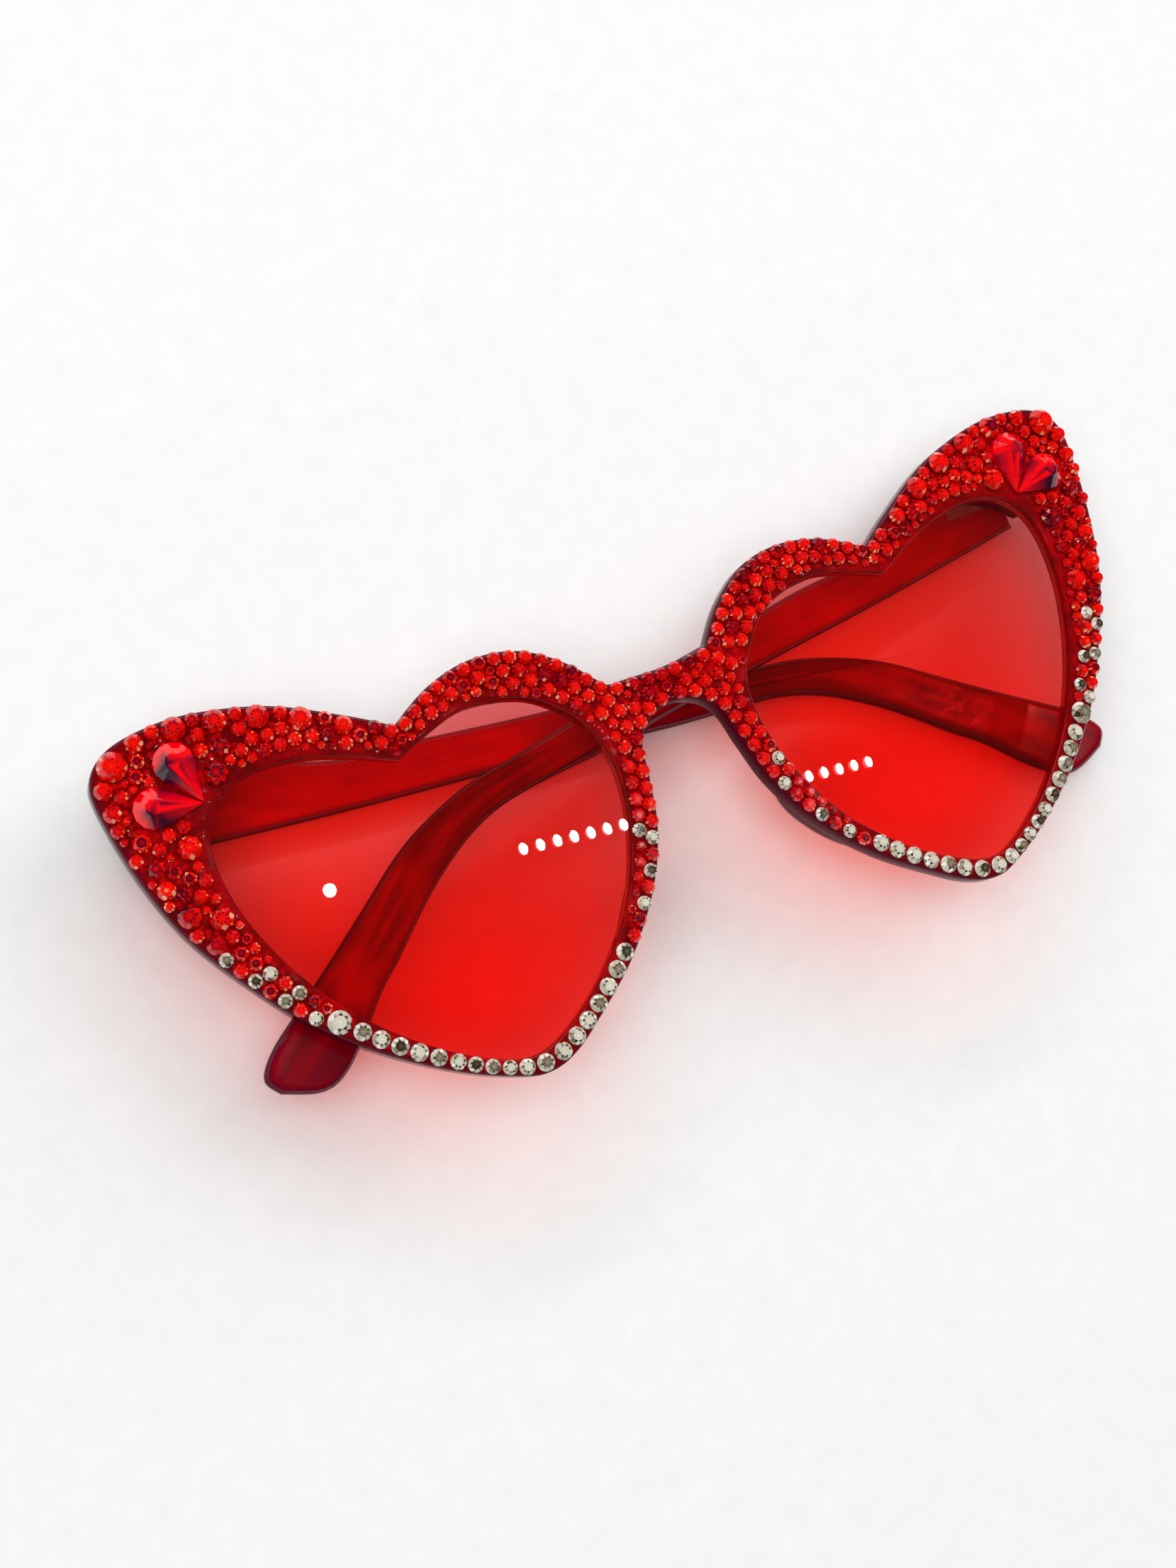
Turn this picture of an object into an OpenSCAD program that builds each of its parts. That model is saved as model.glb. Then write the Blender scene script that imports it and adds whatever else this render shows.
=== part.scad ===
// Heart shaped sunglasses with a stone-set cat-eye front, lying folded, face up, on a table.
// X runs across the front, Y is up as worn and Z is the way that the lenses face.
// Left and right are the wearer's: the left temple's hinge is at +X.

/* [Front] */
// Width of the front over both cat-eye corners
front_w = 150; // [138:1:162]
// Height of the front, from the heart tips to the corners
front_h = 60.5; // [56:0.5:66]
// Thickness of the moulded rims
front_t = 3.6; // [3.2:0.1:4.6]
// Radius that the front is bent to, about an upright axis
bend_r = 450; // [380:10:700]
// Depth of the moulded nose pads behind the rims
pad_depth = 3.4; // [2:0.1:5]
// Width of the moulded nose pads
pad_w = 2.8; // [2:0.1:3.6]
// Thickness of the corner lugs behind the rims, at the hinge
lug_t = 6.2; // [5.8:0.1:8]

/* [Lenses] */
// Thickness of a lens
lens_t = 1.8; // [1.4:0.1:2.2]
// Depth of a lens below the face of the rim
lens_recess = 0.9; // [0.6:0.1:1.1]
// Depth of the groove that holds a lens
groove_depth = 0.8; // [0.5:0.1:1]
// Clearance between a lens and its groove
groove_gap = 0.05; // [0.03:0.01:0.1]

/* [Temples] */
// Length of a temple from its hinge to the end of its hook
temple_len = 135.5; // [126:0.5:145]
// Thickness of a temple
temple_t = 2.9; // [2.5:0.1:3]
// Drop from the hinge to the lowest point of the hook
temple_drop = 43.8; // [40:0.2:48]
// Angle past square that the left temple, which lies on the inside, is folded to
overfold = 4.2; // [4:0.1:5]

/* [Hinges] */
// Distance of a hinge pin from the end of the front
hinge_inset = 7.5; // [7:0.5:8.5]
// Distance of the hinges below the corners of the front
hinge_drop = 7.65; // [7.2:0.05:8]
// Outside radius of a knuckle
knuckle_r = 1.3; // [1.1:0.05:1.4]
// Height of each knuckle
knuckle_h = 1.9; // [1.6:0.1:2]
// Clearance between the ends of two knuckles
knuckle_gap = 0.1; // [0.05:0.01:0.2]
// Thickness of a hinge leaf
leaf_t = 0.8; // [0.6:0.05:1]
// Length of the leaf on the front
front_leaf_len = 6; // [5.5:0.1:6.5]
// Length of the leaf on the temple
temple_leaf_len = 10; // [8:0.5:12]
// Radius of the hinge screw's shank
screw_r = 0.7; // [0.5:0.05:0.8]
// Running clearance between the shank and its bore
screw_clear = 0.04; // [0.02:0.01:0.08]
// Radius of a screw head
head_r = 1.15; // [1:0.05:1.25]
// Height of a screw head
head_h = 0.6; // [0.4:0.05:0.8]
// Radius of a rivet's shank
rivet_r = 0.5; // [0.4:0.05:0.6]
// Radius of a rivet's head
rivet_head_r = 0.85; // [0.75:0.05:0.95]
// Height of a rivet's head
rivet_head_h = 0.35; // [0.2:0.05:0.45]
// Depth of a rivet in the plastic
rivet_depth = 1.8; // [1.2:0.1:2]

/* [Stones] */
// Diameter of the small red stones
small_d = 1.95; // [1.8:0.05:2.1]
// Diameter of the clear stones on the lower rims
crystal_d = 2.4; // [2.2:0.05:2.6]
// Diameter of the filler stones
filler_d = 1.5; // [1.4:0.05:1.7]
// Diameter of the least stones, which close the gaps between the others
chip_d = 1.15; // [1.05:0.05:1.3]
// Diameter of the medium stones, as a share of the front's height
medium_share = 0.0413; // [0.038:0.0001:0.043]
// Diameter of the large stones, as a share of the front's height
large_share = 0.0529; // [0.049:0.0001:0.054]
// Diameter of the stone at each cat-eye tip, as a share of the front's height
tip_share = 0.0661; // [0.06:0.0001:0.068]
// Distance of the first row from the edge of the front
edge_inset = 0.95; // [0.9:0.05:1.1]
// Plain margin kept beside each lens opening
plain_margin = 0.45; // [0.4:0.05:0.6]
// Length of a pear stone, as a share of the front's height
pear_len_share = 0.1504; // [0.14:0.0001:0.152]
// Width of a pear stone, as a share of the front's height
pear_w_share = 0.0909; // [0.084:0.0001:0.092]
// Height of a pear stone, as a share of the front's height
pear_h_share = 0.0347; // [0.03:0.0001:0.04]

/* [Hidden] */

$fn = 48;
// Facets of the wide cylinders that the front is bent to
bend_fn = 1080;

// Overrun of every cut
cut = 1;
// Steps between two knots of an outline
curve_steps = 4;
half_w = front_w / 2;
half_h = front_h / 2;
hinge_y = half_h - hinge_drop;

// The big stones fit the corners, so they follow the front's height, or its width if that is less
corner_aspect_share = 0.4033;
stone_base = min(front_h, corner_aspect_share * front_w);
medium_d = medium_share * stone_base;
large_d = large_share * stone_base;
tip_d = tip_share * stone_base;
pear_len = pear_len_share * stone_base;
pear_w = pear_w_share * stone_base;
pear_h = pear_h_share * stone_base;

// Hinge: the pin stands off the temple's inner face by the leaf, the knuckle and a little air
leaf_air = 0.5;
pin_off = leaf_t + knuckle_r + leaf_air;
pin_x = half_w - hinge_inset;
pin_z = temple_t + pin_off;
butt_gap = 0.3;
lug_back_z = pin_z + butt_gap;

// Height of the front's face above the table, at its middle line and at a distance from it
function sag(x) = bend_r - sqrt(bend_r * bend_r - x * x);
face_z = lug_back_z + lug_t + front_t + sag(pin_x);
function face_at(x) = face_z - sag(x);

// Knots of the outlines, as shares of half the width and half the height.
// The outer edge runs from the middle of the bridge's underside down the nose, round the heart tip
// and the cat-eye corner to the cleft of the heart.
lower_edge_shares = [[0, 0.275], [0.046, 0.25], [0.079, 0.165], [0.094, 0], [0.116, -0.212],
    [0.165, -0.443], [0.252, -0.691], [0.357, -0.889], [0.413, -0.972], [0.459, -1],
    [0.504, -0.977], [0.599, -0.86], [0.707, -0.668], [0.803, -0.44], [0.879, -0.175],
    [0.943, 0.112], [0.981, 0.426], [1, 0.754], [0.991, 0.886], [0.952, 0.968], [0.885, 1],
    [0.797, 0.988], [0.671, 0.899], [0.554, 0.74], [0.481, 0.621]];
// The inner lobe, from the cleft to the corner where the bridge begins
lobe_edge_shares = [[0.481, 0.621], [0.404, 0.724], [0.319, 0.77], [0.232, 0.737], [0.159, 0.618],
    [0.101, 0.45]];
bridge_top_share = 0.436;
// The lens opening, from its cleft round the outer side, the tip and the nose side
opening_shares = [[0.496, 0.476], [0.577, 0.572], [0.663, 0.638], [0.752, 0.651], [0.82, 0.575],
    [0.851, 0.397], [0.843, 0.119], [0.797, -0.195], [0.725, -0.476], [0.631, -0.711],
    [0.536, -0.866], [0.472, -0.909], [0.408, -0.863], [0.315, -0.711], [0.223, -0.469],
    [0.164, -0.172], [0.144, 0.106], [0.165, 0.317], [0.24, 0.512], [0.347, 0.579],
    [0.435, 0.532], [0.496, 0.476]];

// A smooth curve through the knots p, with n steps between two knots
function along(p, i, u) = let (
        a = p[max(i - 1, 0)], b = p[i], c = p[i + 1], d = p[min(i + 2, len(p) - 1)])
    (2 * b + (c - a) * u + (2 * a - 5 * b + 4 * c - d) * u * u
        + (3 * b - a - 3 * c + d) * u * u * u) / 2;
function curve(p, n) = [for (i = [0 : len(p) - 2]) for (j = [0 : n - 1]) along(p, i, j / n),
    p[len(p) - 1]];
function sized(shares) = [for (s = shares) [s.x * half_w, s.y * half_h]];
function mirrored(p) = [for (i = [len(p) - 1 : -1 : 0]) [-p[i].x, p[i].y]];
function without_ends(p) = [for (i = [1 : len(p) - 2]) p[i]];

// Right half of the outer edge, from the bridge's underside round to the middle of its top
half_lower = sized(lower_edge_shares);
whole_lower = curve(concat(mirrored(half_lower), [for (i = [1 : len(half_lower) - 1]) half_lower[i]]),
    curve_steps);
lobe = curve(sized(lobe_edge_shares), curve_steps);
bridge_top = [0, bridge_top_share * half_h];
outer_edge = concat(whole_lower, without_ends(lobe), [lobe[len(lobe) - 1], bridge_top],
    [mirrored(lobe)[0]], without_ends(mirrored(lobe)));
opening_edge = without_ends(concat([[0, 0]], curve(sized(opening_shares), curve_steps)));

// An outline moved outwards by d, each point along the mean normal of its two sides. The outline
// runs clockwise, so outwards is to the left of its direction.
function left_normal(a, b) = let (t = (b - a) / norm(b - a)) [-t.y, t.x];
function grown(p, d) = [for (i = [0 : len(p) - 1]) let (
        n1 = left_normal(p[(i + len(p) - 1) % len(p)], p[i]),
        n2 = left_normal(p[i], p[(i + 1) % len(p)]),
        m = n1 + n2)
    p[i] + m * (2 * d / max(m * m, 1))];

// A slab of thickness t bent about an upright axis, its face a depth below the face of the front
module bent_slab(depth, t) {
    r = bend_r - depth;
    translate([0, 0, face_z - bend_r])
        rotate([90, 0, 0])
            difference() {
                cylinder(r = r, h = 2 * front_h, center = true, $fn = bend_fn);
                cylinder(r = r - t, h = 2 * front_h + cut, center = true, $fn = bend_fn);
            }
}

// An outline carried through the height of the front and bent with it
module bent_plate(depth, t) {
    intersection() {
        linear_extrude(face_z + cut) children();
        bent_slab(depth, t);
    }
}

// side is 1 for the wearer's left, at +X, and -1 for the right
module on_side(side) {
    if (side > 0) children();
    else mirror([1, 0, 0]) children();
}

// Corner lug: it carries the front leaf and meets the butt of the open temple
lug_in_x = 0.77 * half_w;
lug_out_x = 0.977 * half_w;
lug_low_y = 0.55 * half_h;
lug_high_y = 0.915 * half_h;
lug_edge_shares = [[0.77, 0.69], [0.825, 0.615], [0.862, 0.53]];
seat_z = pin_z + knuckle_r + leaf_air + leaf_t;
pocket_wall_x = pin_x + pin_off - leaf_air - 0.1 * leaf_t;

module lug_outline() {
    polygon(concat(sized(lug_edge_shares), [[lug_out_x, lug_low_y], [lug_out_x, lug_high_y - pin_off],
        [lug_out_x - pin_off, lug_high_y], [lug_in_x, lug_high_y]]));
}

module lug() {
    difference() {
        intersection() {
            translate([0, 0, lug_back_z]) linear_extrude(face_z - lug_back_z) lug_outline();
            bent_slab(front_t / 2, 2 * lug_t);
        }
        translate([lug_in_x - cut, lug_low_y - cut, lug_back_z - cut])
            cube([pocket_wall_x - lug_in_x + cut, front_h, seat_z - lug_back_z + cut]);
    }
}

// Moulded nose pad: a thin wall behind the nose side of the rim, deepest in the middle
pad_shares = [[0.116, -0.212], [0.136, -0.33], [0.165, -0.443], [0.206, -0.575], [0.252, -0.691]];
pad_edge = curve(sized(pad_shares), curve_steps);
// Step between the rim's edge and the outer wall of the pad
pad_step = 0.15;
function pad_side(p, d) = [for (i = [0 : len(p) - 1])
    p[i] + left_normal(p[max(i - 1, 0)], p[min(i + 1, len(p) - 1)]) * d];
function pad_ring(p, near, far) = let (a = pad_side(p, near), b = pad_side(p, far))
    concat(a, [for (i = [len(b) - 1 : -1 : 0]) b[i]]);

module nose_pad() {
    chord = pad_edge[len(pad_edge) - 1] - pad_edge[0];
    middle = (pad_edge[len(pad_edge) - 1] + pad_edge[0]) / 2;
    // Radius of the arch that passes through both ends of the pad and its deepest point
    half_chord = norm(chord) / 2;
    reach = pad_depth + front_t / 2;
    arch_r = (half_chord * half_chord + reach * reach) / (2 * reach);
    top_z = face_at(middle.x) - front_t / 2;
    intersection() {
        translate([0, 0, top_z - reach]) linear_extrude(reach) polygon(pad_ring(pad_edge, pad_step, pad_w));
        translate([middle.x, middle.y, top_z - reach + arch_r])
            rotate([0, 0, atan2(chord.y, chord.x)])
                rotate([90, 0, 0])
                    cylinder(r = arch_r, h = front_w, center = true);
    }
}

rivet_x = pin_x - knuckle_r - front_leaf_len / 2;
rivet_step = knuckle_h;
rivet_hole_gap = 0.02;

module front_frame() {
    color([0.7, 0.01, 0.04])
        difference() {
            union() {
                bent_plate(0, front_t) polygon(outer_edge);
                for (side = [-1, 1]) on_side(side) {
                    lug();
                    nose_pad();
                }
            }
            for (side = [-1, 1]) on_side(side) {
                linear_extrude(face_z + cut) polygon(opening_edge);
                bent_plate(lens_recess - groove_gap, lens_t + 2 * groove_gap)
                    polygon(grown(opening_edge, groove_depth));
                for (k = [-1, 1])
                    translate([rivet_x, hinge_y + k * rivet_step, seat_z - cut])
                        cylinder(r = rivet_r + rivet_hole_gap, h = rivet_depth + rivet_hole_gap + cut);
            }
        }
}

module lens(side) {
    color([0.95, 0.05, 0.08, 0.6])
        on_side(side)
            bent_plate(lens_recess, lens_t) polygon(grown(opening_edge, groove_depth - groove_gap));
}

// Temple profile, as shares of its length and of its drop, from the top of the butt to its foot
temple_shares = [[0, -0.114], [0.0704, -0.082], [0.1367, 0.014], [0.2029, 0.082], [0.2771, 0.107],
    [0.3651, 0.148], [0.4314, 0.176], [0.5421, 0.228], [0.646, 0.281], [0.6974, 0.308],
    [0.7488, 0.361], [0.7933, 0.429], [0.8447, 0.539], [0.9041, 0.667], [0.9486, 0.758],
    [0.9842, 0.836], [1, 0.904], [0.9901, 0.959], [0.9545, 1], [0.9288, 0.984], [0.8981, 0.909],
    [0.8635, 0.799], [0.8339, 0.726], [0.7864, 0.6], [0.7488, 0.516], [0.7122, 0.452],
    [0.6756, 0.411], [0.6311, 0.388], [0.5461, 0.365], [0.4541, 0.326], [0.3582, 0.295],
    [0.2326, 0.253], [0.1584, 0.226], [0.0852, 0.196], [0, 0.16]];
temple_profile = [for (p = curve(temple_shares, curve_steps))
    [-p.x * temple_len, hinge_y - p.y * temple_drop]];

// Carries a piece drawn square to the front, with its outer side down, to the pin at this fold
module folded(side) {
    on_side(side)
        translate([pin_x, 0, pin_z])
            rotate([0, side > 0 ? overfold : 0, 0])
                children();
}

temple_rivet_places = [0.4 * temple_leaf_len, 0.8 * temple_leaf_len];

module temple(side) {
    color([0.55, 0, 0.03])
        folded(side)
            difference() {
                translate([0, 0, -pin_off - temple_t]) linear_extrude(temple_t) polygon(temple_profile);
                for (s = temple_rivet_places)
                    translate([-s, hinge_y, -pin_off - rivet_depth - rivet_hole_gap])
                        cylinder(r = rivet_r + rivet_hole_gap, h = rivet_depth + rivet_hole_gap + cut);
            }
}

leaf_h = 3 * knuckle_h + 2 * knuckle_gap;
bore_r = screw_r + screw_clear;

// An upright cylinder of this radius about the pin, from y to y + h
module about_pin(r, y, h) {
    translate([0, y + h, 0]) rotate([90, 0, 0]) cylinder(r = r, h = h);
}

// Front leaf: a plate on the seat of the lug with the two outer knuckles
module front_leaf(side) {
    color([0.75, 0.72, 0.62])
        on_side(side)
            translate([pin_x, 0, pin_z])
                difference() {
                    union() {
                        translate([-knuckle_r - front_leaf_len, hinge_y - leaf_h / 2, knuckle_r + leaf_air])
                            cube([front_leaf_len + knuckle_r, leaf_h, leaf_t]);
                        for (k = [0, 2]) {
                            y = hinge_y - leaf_h / 2 + k * (knuckle_h + knuckle_gap);
                            about_pin(knuckle_r, y, knuckle_h);
                            translate([-knuckle_r, y, 0])
                                cube([knuckle_r, knuckle_h, knuckle_r + leaf_air + leaf_t / 2]);
                        }
                    }
                    about_pin(bore_r, hinge_y - leaf_h, 2 * leaf_h);
                    for (k = [-1, 1])
                        translate([rivet_x - pin_x, hinge_y + k * rivet_step, 0])
                            cylinder(r = rivet_r + rivet_hole_gap, h = seat_z);
                }
}

// Temple leaf: a plate on the temple's inner face with the middle knuckle
module temple_leaf(side) {
    color([0.75, 0.72, 0.62])
        folded(side)
            difference() {
                union() {
                    translate([-temple_leaf_len, hinge_y - leaf_h / 2, -pin_off])
                        cube([temple_leaf_len, leaf_h, leaf_t]);
                    about_pin(knuckle_r, hinge_y - knuckle_h / 2, knuckle_h);
                    translate([-knuckle_r, hinge_y - knuckle_h / 2, leaf_t / 2 - pin_off])
                        cube([knuckle_r, knuckle_h, pin_off - leaf_t / 2]);
                }
                about_pin(bore_r, hinge_y - leaf_h, 2 * leaf_h);
                for (s = temple_rivet_places)
                    translate([-s, hinge_y, -pin_off - cut])
                        cylinder(r = rivet_r + rivet_hole_gap, h = leaf_t + 2 * cut);
            }
}

// Hinge screw: it drops in from above and ends level with the lowest knuckle
module hinge_screw(side) {
    color([0.8, 0.8, 0.82])
        on_side(side)
            translate([pin_x, 0, pin_z]) {
                about_pin(screw_r, hinge_y - leaf_h / 2, leaf_h + knuckle_gap + head_h / 2);
                about_pin(head_r, hinge_y + leaf_h / 2 + knuckle_gap / 2, head_h);
            }
}

// A rivet whose head stands on the leaf at the origin and whose shank runs along +Z
module rivet() {
    translate([0, 0, -rivet_head_h]) cylinder(r = rivet_head_r, h = rivet_head_h);
    translate([0, 0, -rivet_head_h]) cylinder(r = rivet_r, h = rivet_head_h + leaf_t + rivet_depth);
}

module front_rivets(side) {
    color([0.85, 0.84, 0.8])
        on_side(side)
            for (k = [-1, 1])
                translate([rivet_x, hinge_y + k * rivet_step, seat_z - leaf_t]) rivet();
}

module temple_rivets(side) {
    color([0.85, 0.84, 0.8])
        folded(side)
            for (s = temple_rivet_places)
                translate([-s, hinge_y, leaf_t - pin_off]) mirror([0, 0, 1]) rivet();
}

// Stones. Each is a flat-backed cut stone bedded in clear cement on the bent face.
cement_t = 0.05;
table_share = 0.52;
girdle_share = 0.12;
height_share = 0.46;
crown_foot_share = 0.9;

// Lays what is drawn on the XY plane onto the face of the front at a place p
module on_face(p) {
    translate([p.x, p.y, face_at(p.x)])
        rotate([0, asin(p.x / bend_r), 0])
            translate([0, 0, cement_t])
                children();
}

module round_stone(d) {
    rotate_extrude()
        polygon([[0, 0], [crown_foot_share * d / 2, 0], [d / 2, girdle_share * d],
            [table_share * d / 2, height_share * d], [0, height_share * d]]);
}

// A pear outline with its point at the origin and its round end towards +X
pear_arc_steps = 12;
pear_middle = pear_len - pear_w / 2;
pear_turn = acos(pear_w / 2 / pear_middle);
pear_outline = concat([[0, 0]], [for (i = [0 : pear_arc_steps]) let (
        a = (180 - pear_turn) * (2 * i / pear_arc_steps - 1))
    [pear_middle + pear_w / 2 * cos(a), pear_w / 2 * sin(a)]]);
pear_girdle_h = girdle_share * pear_w;

module pear_stone() {
    linear_extrude(pear_girdle_h) polygon(pear_outline);
    translate([pear_middle, 0, pear_girdle_h])
        linear_extrude(pear_h - pear_girdle_h, scale = table_share)
            translate([-pear_middle, 0]) polygon(pear_outline);
}

// Places of the pears' points, and the ways that their round ends lie
pear_point = [0.831 * half_w, 0.608 * half_h];
pear_spread = 0.02 * pear_w;
pear_turns = [74, 15];
function pear_spot(turn, u) = pear_point + [cos(turn), sin(turn)] * u;

// Hand-placed stones of each half: shares of half the width and height, then the diameter
hand_places = [[0.951, 0.893, tip_d], [0.903, 0.952, medium_d], [0.833, 0.949, large_d],
    [0.765, 0.916, large_d], [0.696, 0.869, large_d], [0.629, 0.793, large_d],
    [0.565, 0.701, medium_d], [0.771, 0.806, medium_d], [0.795, 0.709, large_d],
    [0.979, 0.812, medium_d], [0.979, 0.708, medium_d], [0.953, 0.549, medium_d],
    [0.883, 0.455, large_d], [0.947, 0.425, medium_d], [0.945, 0.325, medium_d],
    [0.926, 0.188, large_d], [0.878, 0.13, large_d], [0.904, 0.035, medium_d]];
big_clear_share = [0.764, -0.461];
// The lower rims carry one row, below a line through these two shares
one_row_from_share = [0.229, -0.61];
one_row_to_share = [0.762, -0.46];
// The clear stones begin at these heights on the nose side and on the outer side
nose_clear_share = -0.115;
outer_clear_share = 0.03;
// The nose sides and the bridge, up to this share, keep no plain margin beside the opening
no_margin_share = 0.3;

red = 1;
clear = 2;
blank = 0;

// A place is [x, y, diameter, kind]. Blank places keep stones off the pears: each is a share of the
// pear's length from its point and a share of its width.
pear_blank_shares = [[0.71, 1], [0.45, 0.66], [0.24, 0.36], [0.1, 0.2]];
pear_blanks = [for (turn = pear_turns) for (k = pear_blank_shares)
    concat(pear_spot(turn, pear_spread + k[0] * pear_len), [k[1] * pear_w, blank])];
hand_stones = concat([for (h = hand_places) [h[0] * half_w, h[1] * half_h, h[2], red]],
    [concat([big_clear_share.x * half_w, big_clear_share.y * half_h], [large_d, clear])]);

// Half of the outer edge, from the top of the bridge clockwise to its underside
half_edge = concat([bridge_top], [for (i = [len(lobe) - 1 : -1 : 1]) lobe[i]],
    [for (i = [len(whole_lower) - 1 : -1 : (len(whole_lower) - 1) / 2]) whole_lower[i]]);
half_count = len(half_edge);
closed_opening = concat(opening_edge, [opening_edge[0]]);
function edge_normal(i) = left_normal(half_edge[max(i - 1, 0)], half_edge[min(i + 1, half_count - 1)]);
function run_of(p) = [for (i = 0, s = 0; i < len(p);
    s = s + (i + 1 < len(p) ? norm(p[i + 1] - p[i]) : 0), i = i + 1) s];
function to_line(q, a, b) = let (t = max(0, min(1, (q - a) * (b - a) / ((b - a) * (b - a)))))
    norm(q - a - (b - a) * t);
function to_curve(q, p) = min([for (i = [1 : len(p) - 1]) to_line(q, p[i - 1], p[i])]);

// A station at every step along that edge: its place, the outward normal and the width of the rim
station_step = small_d / 6;
stations_over_stone = 5;
function stations() = let (
        run = run_of(half_edge),
        last = half_count - 1,
        xs = [for (i = [0 : last]) [run[i], half_edge[i].x]],
        ys = [for (i = [0 : last]) [run[i], half_edge[i].y]],
        us = [for (i = [0 : last]) [run[i], edge_normal(i).x]],
        vs = [for (i = [0 : last]) [run[i], edge_normal(i).y]])
    [for (s = [0 : station_step : run[last]]) let (
        q = [lookup(s, xs), lookup(s, ys)],
        m = [lookup(s, us), lookup(s, vs)])
    [q, m / norm(m), to_curve(q, closed_opening)]];

one_row_from = sized([one_row_from_share])[0];
one_row_to = sized([one_row_to_share])[0];
function in_one_row(q) = q.y < one_row_from.y
    + (q.x - one_row_from.x) * (one_row_to.y - one_row_from.y) / (one_row_to.x - one_row_from.x);

// Half the sum of two stones' diameters is the least distance between them, and this much over
touch_share = 0.507;
function clashes(q, d, placed) = len([for (s = placed)
    if (norm([s.x - q.x, s.y - q.y]) < touch_share * (d + s[2])) 1]) > 0;

// A stone near the middle line stands on it
function centred(q, d) = [abs(q.x) < d / 8 ? 0 : q.x, q.y];

// Whether a place lies on the plate: a line straight up from it crosses the edge an odd number of times
function on_plate(q) = let (x = max(q.x, station_step)) len([for (i = [1 : half_count - 1])
    let (a = half_edge[i - 1], b = half_edge[i])
        if ((a.x > x) != (b.x > x) && a.y + (b.y - a.y) * (x - a.x) / (b.x - a.x) > q.y) 1]) % 2 == 1;

// Whether a red stone fits at this distance in from a station where the rim is w wide. No stone of a
// row comes closer to another stretch of the edge than its row, less a share of its diameter.
edge_over_share = 0.1;
row_over_share = 0.17;
margin_over_share = 0.01;
function margin_at(q) = q.x < no_margin_share * half_w ? 0 : plain_margin;
function fits(q, d, inset, w, in_rows, placed) =
    w - inset < (0.5 - margin_over_share) * d + margin_at(q) || in_one_row(q) || (q.x != 0 && q.x < d / 2)
        ? false
    : clashes(q, d, placed) ? false
    : let (edge = to_curve(q, half_edge))
        edge > min(inset, edge_inset) - edge_over_share * d && on_plate(q)
        && (!in_rows || inset < edge_inset + d / 8 || edge > inset - row_over_share * d);

// Walks along the stations and sets a red stone wherever one fits at this distance in from the edge
function walk_red(st, k, d, inset, in_rows, placed) =
    k >= len(st) ? placed
    : let (q = centred(st[k][0] - st[k][1] * inset, d))
        !fits(q, d, inset, st[k][2], in_rows, placed) ? walk_red(st, k + 1, d, inset, in_rows, placed)
        : walk_red(st, k + stations_over_stone, d, inset, in_rows, concat(placed, [concat(q, [d, red])]));

// Walks again and again, a little further in each time, as far as the widest rim goes
fill_step = 0.1 * small_d;
deepest = 0.45 * half_h;
function fill(st, d, inset, in_rows, placed) = inset > deepest ? placed
    : fill(st, d, inset + fill_step, in_rows, walk_red(st, 0, d, inset, in_rows, placed));

// Walks along the lower rim and sets clear stones along its middle, as wide as the rim allows
least_crystal_d = 2;
crystal_side_gap = 0.05;
function walk_clear(st, k, placed) =
    k >= len(st) ? placed
    : let (
        w = st[k][2],
        q = st[k][0] - st[k][1] * (w / 2),
        d = min(crystal_d, max(least_crystal_d, w - 2 * crystal_side_gap)))
        in_one_row(q) && !clashes(q, d, placed)
            ? walk_clear(st, k + stations_over_stone, concat(placed, [concat(q, [d, clear])]))
            : walk_clear(st, k + 1, placed);

// The first row follows the edge. The small stones behind it start this share of their diameter in.
second_row_share = 0.72;
function all_places() = let (
        st = stations(),
        lowest = walk_clear(st, 0, concat(pear_blanks, hand_stones)),
        first = walk_red(st, 0, small_d, edge_inset, true, lowest),
        rows = fill(st, small_d, edge_inset + second_row_share * small_d, true, first),
        fillers = fill(st, filler_d, edge_inset, false, rows))
    fill(st, chip_d, edge_inset, false, fillers);

// Which of the red stones between the heights above and the lower rims are clear ones
function turned_clear(i, s, side) = s[3] == red && s[2] == small_d
    && s.y < (s.x < half_w / 2 ? nose_clear_share : outer_clear_share) * half_h
    && (side > 0 ? (i * 5) % 12 < 5 : (i * 7) % 16 < 7);
function is_clear(i, s, side) = s[3] == clear || turned_clear(i, s, side);

module stones(side, want_clear, from_d, to_d) {
    places = all_places();
    on_side(side)
        for (i = [0 : len(places) - 1])
            let (s = places[i])
                if (s[3] != blank && is_clear(i, s, side) == want_clear && s[2] > from_d && s[2] <= to_d
                    && (side > 0 || s.x > 0))
                    on_face([s.x, s.y]) round_stone(s[2]);
}

module pear_stones(side) {
    color([0.6, 0, 0.04])
        on_side(side)
            for (turn = pear_turns)
                on_face(pear_spot(turn, pear_spread)) rotate([0, 0, turn]) pear_stone();
}

module large_stones(side) {
    color([0.75, 0, 0.05]) stones(side, false, small_d, tip_d);
}

module small_stones(side) {
    color([0.85, 0.03, 0.03]) stones(side, false, 0, small_d);
}

module clear_stones(side) {
    color([0.85, 0.83, 0.72]) stones(side, true, 0, tip_d);
}

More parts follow.
